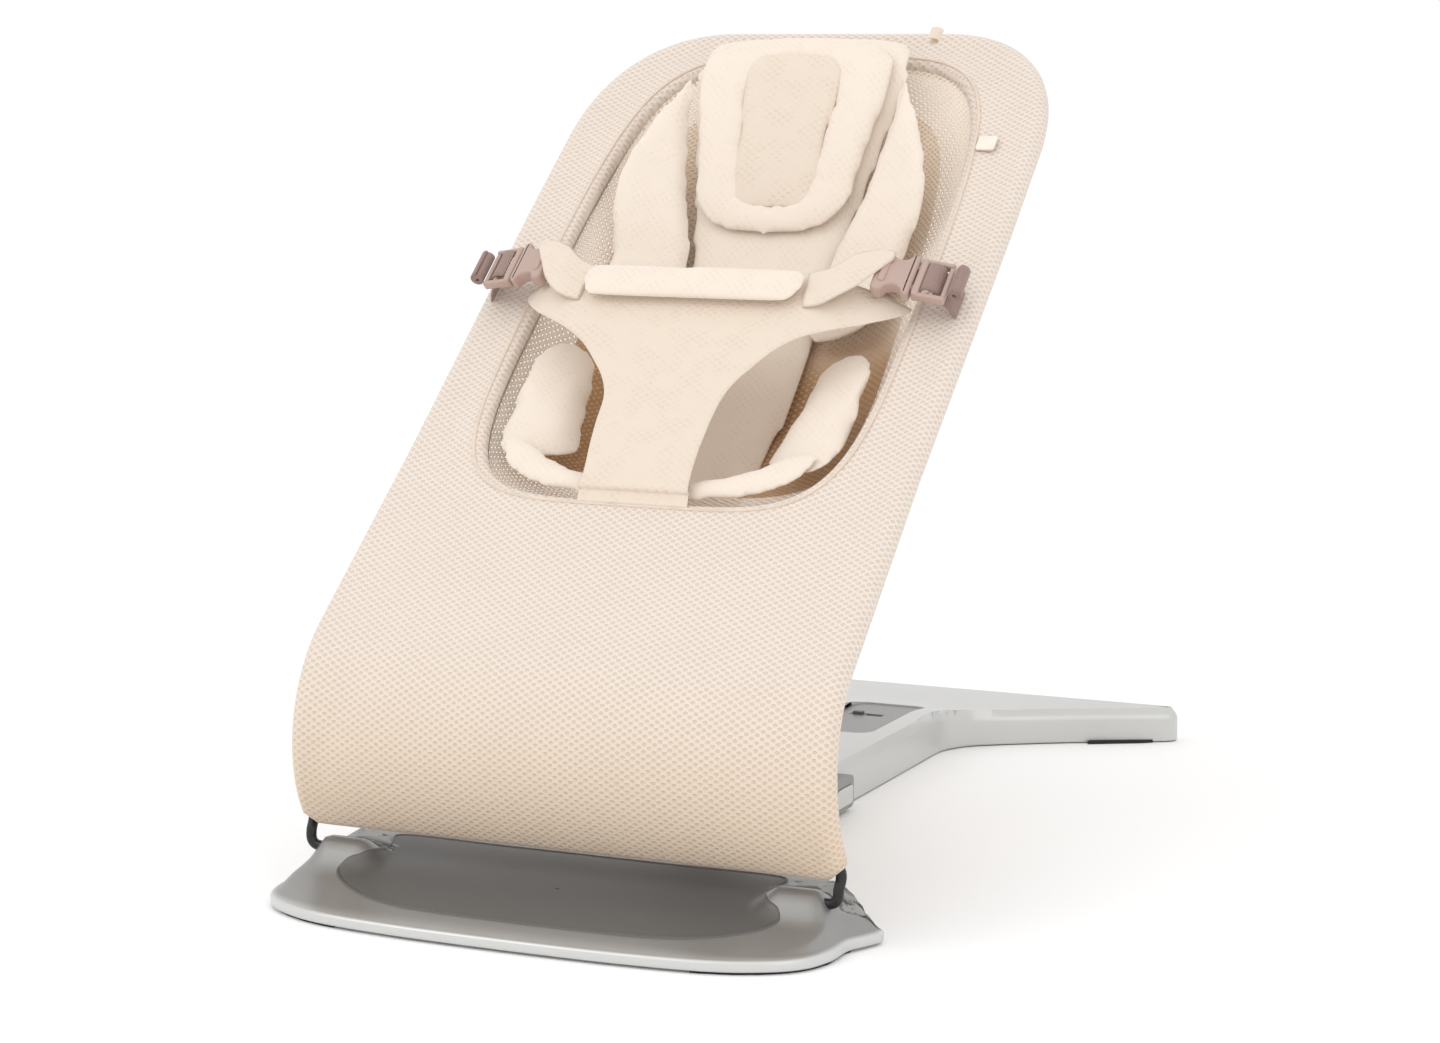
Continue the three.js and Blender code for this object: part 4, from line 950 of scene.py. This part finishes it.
FLAP_LOW = curve_points([(86, 431), (104, 435), (118, 449), (127, 464), (137, 482)], 6)
FLAP_HIGH = curve_points([(82, 463), (98, 471), (112, 482), (126, 489), (137, 489)], 6)
flap_rows = []
for (ax, a), (bx, b) in zip(FLAP_LOW, FLAP_HIGH):
    line = [(lerp(ax, bx, k / 14), lerp(a, b, k / 14)) for k in range(15)]
    edge = [1.5 * (1 - abs(2 * k / 14 - 1) ** 10) for k in range(15)]
    upper = [(x, s, flap_base(x, s) + e) for (x, s), e in zip(line, edge)]
    lower = [(x, s, flap_base(x, s) - e) for (x, s), e in zip(line[-2:0:-1], edge[-2:0:-1])]
    flap_rows.append(upper + lower)
flap = slab("panel_wing_right", flap_rows)
pair(flap, "panel_wing", "cover_fabric")


def inset_loop(loop, d):
    out = []
    n = len(loop)
    for i in range(n):
        (ax, a), (bx, b) = loop[i - 1], loop[(i + 1) % n]
        l = max(1e-6, hypot(bx - ax, b - a))
        out.append((loop[i][0] - (b - a) / l * d, loop[i][1] + (bx - ax) / l * d))
    return out


def rounded(x0, x1, y0, y1, r, n=8):
    pts = []
    for cx, cy, a0 in (
        (x1 - r, y0 + r, -90), (x1 - r, y1 - r, 0), (x0 + r, y1 - r, 90), (x0 + r, y0 + r, 180)
    ):
        pts += [
            (cx + r * cos(radians(a0 + 90 * k / n)), cy + r * sin(radians(a0 + 90 * k / n)))
            for k in range(n + 1)
        ]
    return pts


def block(loop, h0, h1, r, mat):
    """Moulded block with rounded edges, from its outline, leaning like the buckles."""
    rows = []
    for h, way in ((h0, 1), (h1, -1)):
        turns = [
            (r * (1 - sin(radians(a))), h + way * r * (1 - cos(radians(a))))
            for a in (0, 30, 60, 90)
        ]
        for d, z in turns if way > 0 else reversed(turns):
            rows.append([seat(*tilt(x, s, z)) for x, s in inset_loop(loop, d)])
    return grid("block", rows, mat, caps=True)


def joined(name, pieces):
    """One object out of several, with a clean crease at hard edges."""
    bm = bmesh.new()
    for o in pieces:
        bm.from_mesh(o.data)
    me = bpy.data.meshes.new(name)
    bm.to_mesh(me)
    bm.free()
    me.materials.append(pieces[0].data.materials[0])
    for o in pieces:
        bpy.data.objects.remove(o)
    for f in me.polygons:
        f.use_smooth = True
    o = placed(name, me)
    split_edges(o, BUCKLE_CREASE)
    return o


def ribbon(name, line, width, thick):
    """Webbing along a line of [x, h] at the buckle, with its own thickness."""
    run, rows, uv = 0.0, [], []
    for i, (x, h) in enumerate(line):
        (ax, a), (bx, b) = line[max(0, i - 1)], line[min(len(line) - 1, i + 1)]
        l = max(1e-6, hypot(bx - ax, b - a))
        nx, nh = -(b - a) / l * thick / 2, (bx - ax) / l * thick / 2
        if i:
            run += hypot(x - line[i - 1][0], h - line[i - 1][1])
        across = [BUCKLE_S + width * (k / 6 - 0.5) for k in range(7)]
        ring = [(x + nx, s, h + nh) for s in across] + [(x - nx, s, h - nh) for s in across[::-1]]
        rows.append([seat(*tilt(*p)) for p in ring])
        uv.append([(run, p[1]) for p in ring])
    return grid(name, rows, WEBBING, uv=uv, caps=True)


BUCKLE_CREASE = 50
WEBBING_WIDTH = 25


def mouth(x0, x1, half, deep):
    """Outline of the female half: rounded, with a D-shaped window cut into both of its sides."""
    out = rounded(x0, x1, BUCKLE_S - half, BUCKLE_S + half, 4, 5)
    low = [
        (lerp(x0 + 8, x1 - 5, k / 8), BUCKLE_S - half + deep * sin(pi * k / 8) ** 0.5)
        for k in range(9)
    ]
    high = [
        (lerp(x1 - 5, x0 + 8, k / 8), BUCKLE_S + half - deep * sin(pi * k / 8) ** 0.5)
        for k in range(9)
    ]
    first, second = out[:12], out[12:]
    return first + high + second + low



def bar(x, s, h, corner, sides, edge):
    """Buckle block between two x, two s and two h, all counted from the middle of the buckle's joint line."""
    loop = rounded(
        BUCKLE_X + x[0], BUCKLE_X + x[1], BUCKLE_S + s[0], BUCKLE_S + s[1], corner, sides
    )
    return block(loop, BUCKLE_H + h[0], BUCKLE_H + h[1], edge, BUCKLE)


female = [
    block(mouth(BUCKLE_X - 28, BUCKLE_X, 19, 7), BUCKLE_H, BUCKLE_H + 11, 2.2, BUCKLE),
    bar((-24, -19), (-12, 12), (9, 12.2), 2, 3, 1),
]
FEMALE = joined("buckle_female_right", female)
male = [
    bar((1, 6.5), (-17.5, 17.5), (1.5, 10), 2.4, 4, 1.6),  # shoulder against the female half
    bar((13, 16.5), (-16, 16), (3, 9), 1.2, 3, 1),  # inner slider bar
    bar((21.5, 25), (-17, 17), (3, 8), 1.2, 3, 1),  # outer slider bar
    bar((3, 25), (-17.5, -14), (2.4, 9), 1.5, 3, 1.2),  # side rails
    bar((3, 25), (14, 17.5), (2.4, 9), 1.5, 3, 1.2),
    bar((-13, 3), (-12, -7), (3, 8), 1.5, 3, 1),  # prongs
    bar((-13, 3), (7, 12), (3, 8), 1.5, 3, 1),
]
MALE = joined("buckle_male_right", male)
top_h, low_h = BUCKLE_H + 10.4, BUCKLE_H + 1.4
loop_line = curve_points(
    [
        (BUCKLE_X + 7.5, top_h - 1.2),
        (BUCKLE_X + 10, top_h),
        (BUCKLE_X + 15, top_h),
        (BUCKLE_X + 18.6, top_h - 3),
        (BUCKLE_X + 18.8, low_h + 2),
        (BUCKLE_X + 22, low_h - 2),
        (BUCKLE_X + 27, low_h - 8),
        (BUCKLE_X + 31, low_h - 15),
    ],
    5,
)
STRAP = ribbon("strap_webbing_right", loop_line, WEBBING_WIDTH, 1.5)


def coil_point(k):
    """Point k of the rolled-up tail, a spiral with a point every 25 degrees."""
    r, a = 1.6 + 0.62 * k / 6, radians(25 * k)
    return BUCKLE_X + 31 + r * cos(a), BUCKLE_H + 9 + r * sin(a)


coil = [coil_point(k) for k in range(34)]
TAIL = ribbon("strap_tail_right", coil, WEBBING_WIDTH, 1.3)
for right, node, moves, look in (
    (FEMALE, "buckle_female_", False, "buckle_plastic"),
    (MALE, "buckle_male_", True, "buckle_plastic"),
    (STRAP, "strap_webbing_", True, "webbing"),
    (TAIL, "strap_tail_", True, "webbing"),
):
    twin = mirrored(right, node + "left_look")
    right.name = node + "right_look"
    if look == "buckle_plastic":
        split_edges(twin, BUCKLE_CREASE)
    for piece, side in ((right, "right"), (twin, "left")):
        rides(piece, "buckle_" + side if moves else "seat", node + side, slot=look)

# ---------------------------------------------------------------- base mouldings
FOOT_FRONT, FOOT_REAR = 93.0, 50.0
RIM_Z = 9.3
BOSS_TOP = 38.5
FOOT_DISH = curve_points(
    [(-FOOT_FRONT, 9), (-60, 11), (-30, 17), (0, 26), (25, 33), (FOOT_REAR, 36)], 6
)
FOOT_FALL = curve_points([(0, 60), (160, 60), (172, 48), (184, 29), (198, 20), (219, 17)], 6)


def foot_dish(x, y):
    """The dish climbs to the rear and falls to the rim at its sides."""
    a, b = along(FOOT_DISH, y), along(FOOT_FALL, abs(x))
    soft = 2.5
    return -soft * log(exp(-a / soft) + exp(-b / soft))


foot_half = [
    (0, -93), (73, -91.5), (136, -85), (172, -72), (193, -55), (202, -31), (203, -6), (209, 8),
    (214, 20), (214, 28), (200, 44), (188, 50), (100, 50), (0, 50),
]
foot_loop = curve_points(foot_half[:10], 8)[:-1] + curve_points(foot_half[9:], 4)
foot_loop = whole(foot_loop)


def foot_height(x, y):
    """The dish with the two hinge bosses growing out of it."""
    across = smooth(132, 156, abs(x)) * smooth(193, 179, abs(x))
    bell = exp(-((y / 13) ** 2)) * across
    return lerp(foot_dish(x, y), BOSS_TOP, bell)


def foot_rings():
    rows = []
    for d, z in ((3, 2), (0.6, 2), (0, 3), (0, 7.2), (0.5, 8.4), (1.6, 9.1)):
        rows.append([P(x, y, z) for x, y in inset_loop(foot_loop, d)])
    for d in (3, 5, 7, 9.5, 12, 15, 18, 22, 26):
        pts = inset_loop(foot_loop, d)
        mix = smooth(1.5, 12, d)
        rows.append([P(x, y, lerp(RIM_Z, foot_height(x, y), mix)) for x, y in pts])
    last = inset_loop(foot_loop, 26)
    for k in range(1, 45):
        f = 1 - 0.98 * k / 44
        pts = [(x * f, -18 + (y + 18) * f) for x, y in last]
        rows.append([P(x, y, foot_height(x, y)) for x, y in pts])
    return rows


# Its material paints shade on the dish, under the seat.
foot = grid("front_foot", foot_rings(), FOOT_SHADED_DISH, caps=True)
rides(foot, "base", "front_foot_shell", slot="shell_silver")


inlay_half = [
    (0, -60), (60, -59), (96, -56), (124, -48), (146, -36), (160, -23), (158, -15), (149, -10),
    (143, 0), (141, 18), (140, 34), (70, 34), (0, 34),
]
inlay_loop = whole(curve_points(inlay_half, 8))
inlay_rows = []
for d, z in ((-1.0, 0.1), (-0.4, 0.8), (0.4, 0.8), (1.0, 0.15), (2.4, 0.3)):
    inlay_rows.append([P(x, y, foot_height(x, y) + z) for x, y in inset_loop(inlay_loop, d)])
for k in range(1, 31):
    f = 1 - 0.99 * k / 30
    pts = [(x * f, -12 + (y + 12) * f) for x, y in inset_loop(inlay_loop, 2.4)]
    inlay_rows.append([P(x, y, foot_height(x, y) + 0.4) for x, y in pts])
inlay = grid("foot_inlay", inlay_rows, INLAY)
rides(inlay, "base", "front_foot_inlay", slot="inlay_dark")

spine_side = [
    (50, 556), (51, 578), (59, 597), (74, 613), (128, 648), (182, 676), (203, 687), (211, 693),
    (213, 699), (209, 704), (203, 705),
]
spine_front = [(0, 50.4), (50, 50.4), (50, 300)]
spine_loop = whole(spine_front + curve_points(spine_side, 6) + [(100, 705), (0, 705)])
FILLET = 10.0


def spine_top(y):
    return along(
        [(0, 30), (70, 36), (556, 36), (575, 34.8), (606, 30.6), (630, 28.6), (720, 28)], y
    )


bm = bmesh.new()
profile = [(0.6, 0.8), (0, 1.6)] + [
    (FILLET * (1 - cos(radians(a))), -FILLET * (1 - sin(radians(a))))
    for a in (0, 15, 30, 45, 60, 75, 90)
]
prev = None
for i, (d, z) in enumerate(profile):
    ring = []
    for x, y in inset_loop(spine_loop, d):
        ring.append(bm.verts.new(P(x, y, z if i < 2 else spine_top(y) + z)))
    if prev:
        for k in range(len(ring)):
            bm.faces.new((prev[k], prev[(k + 1) % len(ring)], ring[(k + 1) % len(ring)], ring[k]))
    prev = ring
fill = [bm.edges.get((prev[k], prev[(k + 1) % len(prev)])) for k in range(len(prev))]
recess_loop = rounded(-32, 32, 463, 600, 14, 6)
track_loop = [(-12.5, 275), (12.5, 275), (12.5, 453), (-12.5, 453)]
for loop, floor in ((recess_loop, 27), (track_loop, 19)):
    hole = [bm.verts.new(P(x, y, spine_top(y))) for x, y in loop]
    low = [bm.verts.new(P(x, y, floor)) for x, y in loop]
    n = len(hole)
    for k in range(n):
        fill.append(bm.edges.new((hole[k], hole[(k + 1) % n])))
        bm.faces.new((hole[k], hole[(k + 1) % n], low[(k + 1) % n], low[k]))
bmesh.ops.triangle_fill(bm, use_beauty=True, use_dissolve=False, edges=fill)
for y in (
    70, 120, 200, 470, 500, 530, 556, 564, 572, 580, 588, 596, 604, 612, 620, 630, 645, 660, 680
):
    live = [
        f
        for f in bm.faces
        if f.is_valid and abs(f.normal.z) > 0.5 and f.calc_center_median().z > 0.026
    ]
    geom = list(
        {v for f in live for v in f.verts}
    ) + list({e for f in live for e in f.edges}) + live
    bmesh.ops.bisect_plane(bm, geom=geom, plane_co=P(0, y, 0), plane_no=(0, 1, 0), dist=1e-6)
for v in bm.verts:
    inside = all(f.normal.z ** 2 > 0.3 or len(f.verts) > 4 for f in v.link_faces)
    if inside and v.co.z > 0.0265:
        y = v.co.y * 1000 - SHIFT_Y
        if abs(v.co.z * 1000 - spine_top(y)) >= 0.05:
            v.co.z = spine_top(y) / 1000
me = bpy.data.meshes.new("spine")
bmesh.ops.recalc_face_normals(bm, faces=bm.faces)
bm.to_mesh(me)
bm.free()
me.materials.append(SILVER)
for f in me.polygons:
    f.use_smooth = True
spine = placed("spine", me)
split_edges(spine, 34)
rides(spine, "base", "spine_shell", slot="shell_silver")

# Lower wires, from the frame tube's ends into the hinge bosses.
wire_x = frame_half(0) + 3
wire = [
    seat(frame_half(40), 40, TUBE_H),
    seat(frame_half(22), 24, TUBE_H),
    P(wire_x, 4, 50),
    P(wire_x, 0.5, 40),
    P(wire_x - 0.6, 0, 34),
    P(wire_x - 4, 0, 30.6),
    P(wire_x - 10, 0, PIVOT_Z),
    P(wire_x - 22, 0, PIVOT_Z),
    P(158, 0, PIVOT_Z),
]
wire_r = tube("lower_wire_right", wire, 3.6, BLACK, sides=18, per=6)
rides(wire_r, "seat", "lower_wire_right", slot="wire_black")
wire_l = mirrored(wire_r, "lower_wire_left")
rides(wire_l, "seat", "lower_wire_left", slot="wire_black")

# ---------------------------------------------------------------- materials of the CAD pieces that show
LOOKS = {
    "pivot_bush": BLACK_PLASTIC,
    "front_pad": RUBBER,
    "rear_pad": RUBBER,
    "track_rail": BLACK_PLASTIC,
    "deck_panel": GREY,
    "latch_housing": GREY,
    "release_button": SILVER,
    "spine_bottom_cover": BLACK_PLASTIC,
    "cover_screw": STEEL,
    "clamp_screw": STEEL,
    "arm_collar": STEEL,
    "shoe_pin": STEEL,
    "slide_shoe": GREY,
    "lock_slider": INLAY,
    "frame_tube": COATED,
    "rear_crossbar": COATED,
    "hem_batten": BLACK_PLASTIC,
    "bar_clamp": BLACK_PLASTIC,
    "support_arm": BLACK,
    "buckle": BUCKLE,
    "strap": WEBBING,
    "side_label": LABEL,
    "ribbon_loop": BINDING,
}
for node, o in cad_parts.items():
    for start, mat in LOOKS.items():
        if node.startswith(start):
            for k in range(len(o.material_slots)):
                o.material_slots[k].material = mat

# ---------------------------------------------------------------- floor, light, camera
floor_mat = Nodes("pale_floor", Roughness=0.9)
floor_mat.color(floor_mat.mix(floor_mat.noise(0.8), rgb(254, 254, 254), rgb(252, 252, 252)))
floor = make(
    "floor", [(-40, -40, 0), (40, -40, 0), (40, 40, 0), (-40, 40, 0)], [(0, 1, 2, 3)], floor_mat.mat
)

world = bpy.data.worlds.new("studio")
bpy.context.scene.world = world
world.use_nodes = True
world.node_tree.nodes["Background"].inputs[0].default_value = (1, 1, 1, 1)
world.node_tree.nodes["Background"].inputs[1].default_value = 1.0


def softbox(name, where, at, size, power):
    light = bpy.data.lights.new(name, "AREA")
    light.shape = "RECTANGLE"
    light.size, light.size_y = size
    light.energy = power
    o = placed(name, light)
    o.location = where
    o.rotation_euler = (Vector(at) - Vector(where)).to_track_quat("-Z", "Y").to_euler()


AIM = (0, -0.05, 0.3)
SOFTBOX_WATTS = 7
softbox("key", (-1.6, -1.9, 2.2), AIM, (1.4, 1.4), SOFTBOX_WATTS)
softbox("fill", (2.2, -1.6, 1.5), AIM, (1.6, 1.6), SOFTBOX_WATTS)
sun = bpy.data.lights.new("sky", "SUN")
sun.energy = 0.3
sun.angle = radians(60)
sky = placed("sky", sun)
sky.rotation_euler = (radians(35), 0, radians(-25))

cam = bpy.data.cameras.new("camera")
cam.lens = 82.0
cam.sensor_width = 36.0
camera = placed("camera", cam)
# Solved from the photograph.
camera.location = (0.950, -1.879 + SHIFT_Y / 1000, 0.575)
camera.rotation_euler = (radians(90 - 8.40), 0, radians(24.05))
bpy.context.scene.camera = camera
bpy.context.scene.view_settings.view_transform = "Standard"
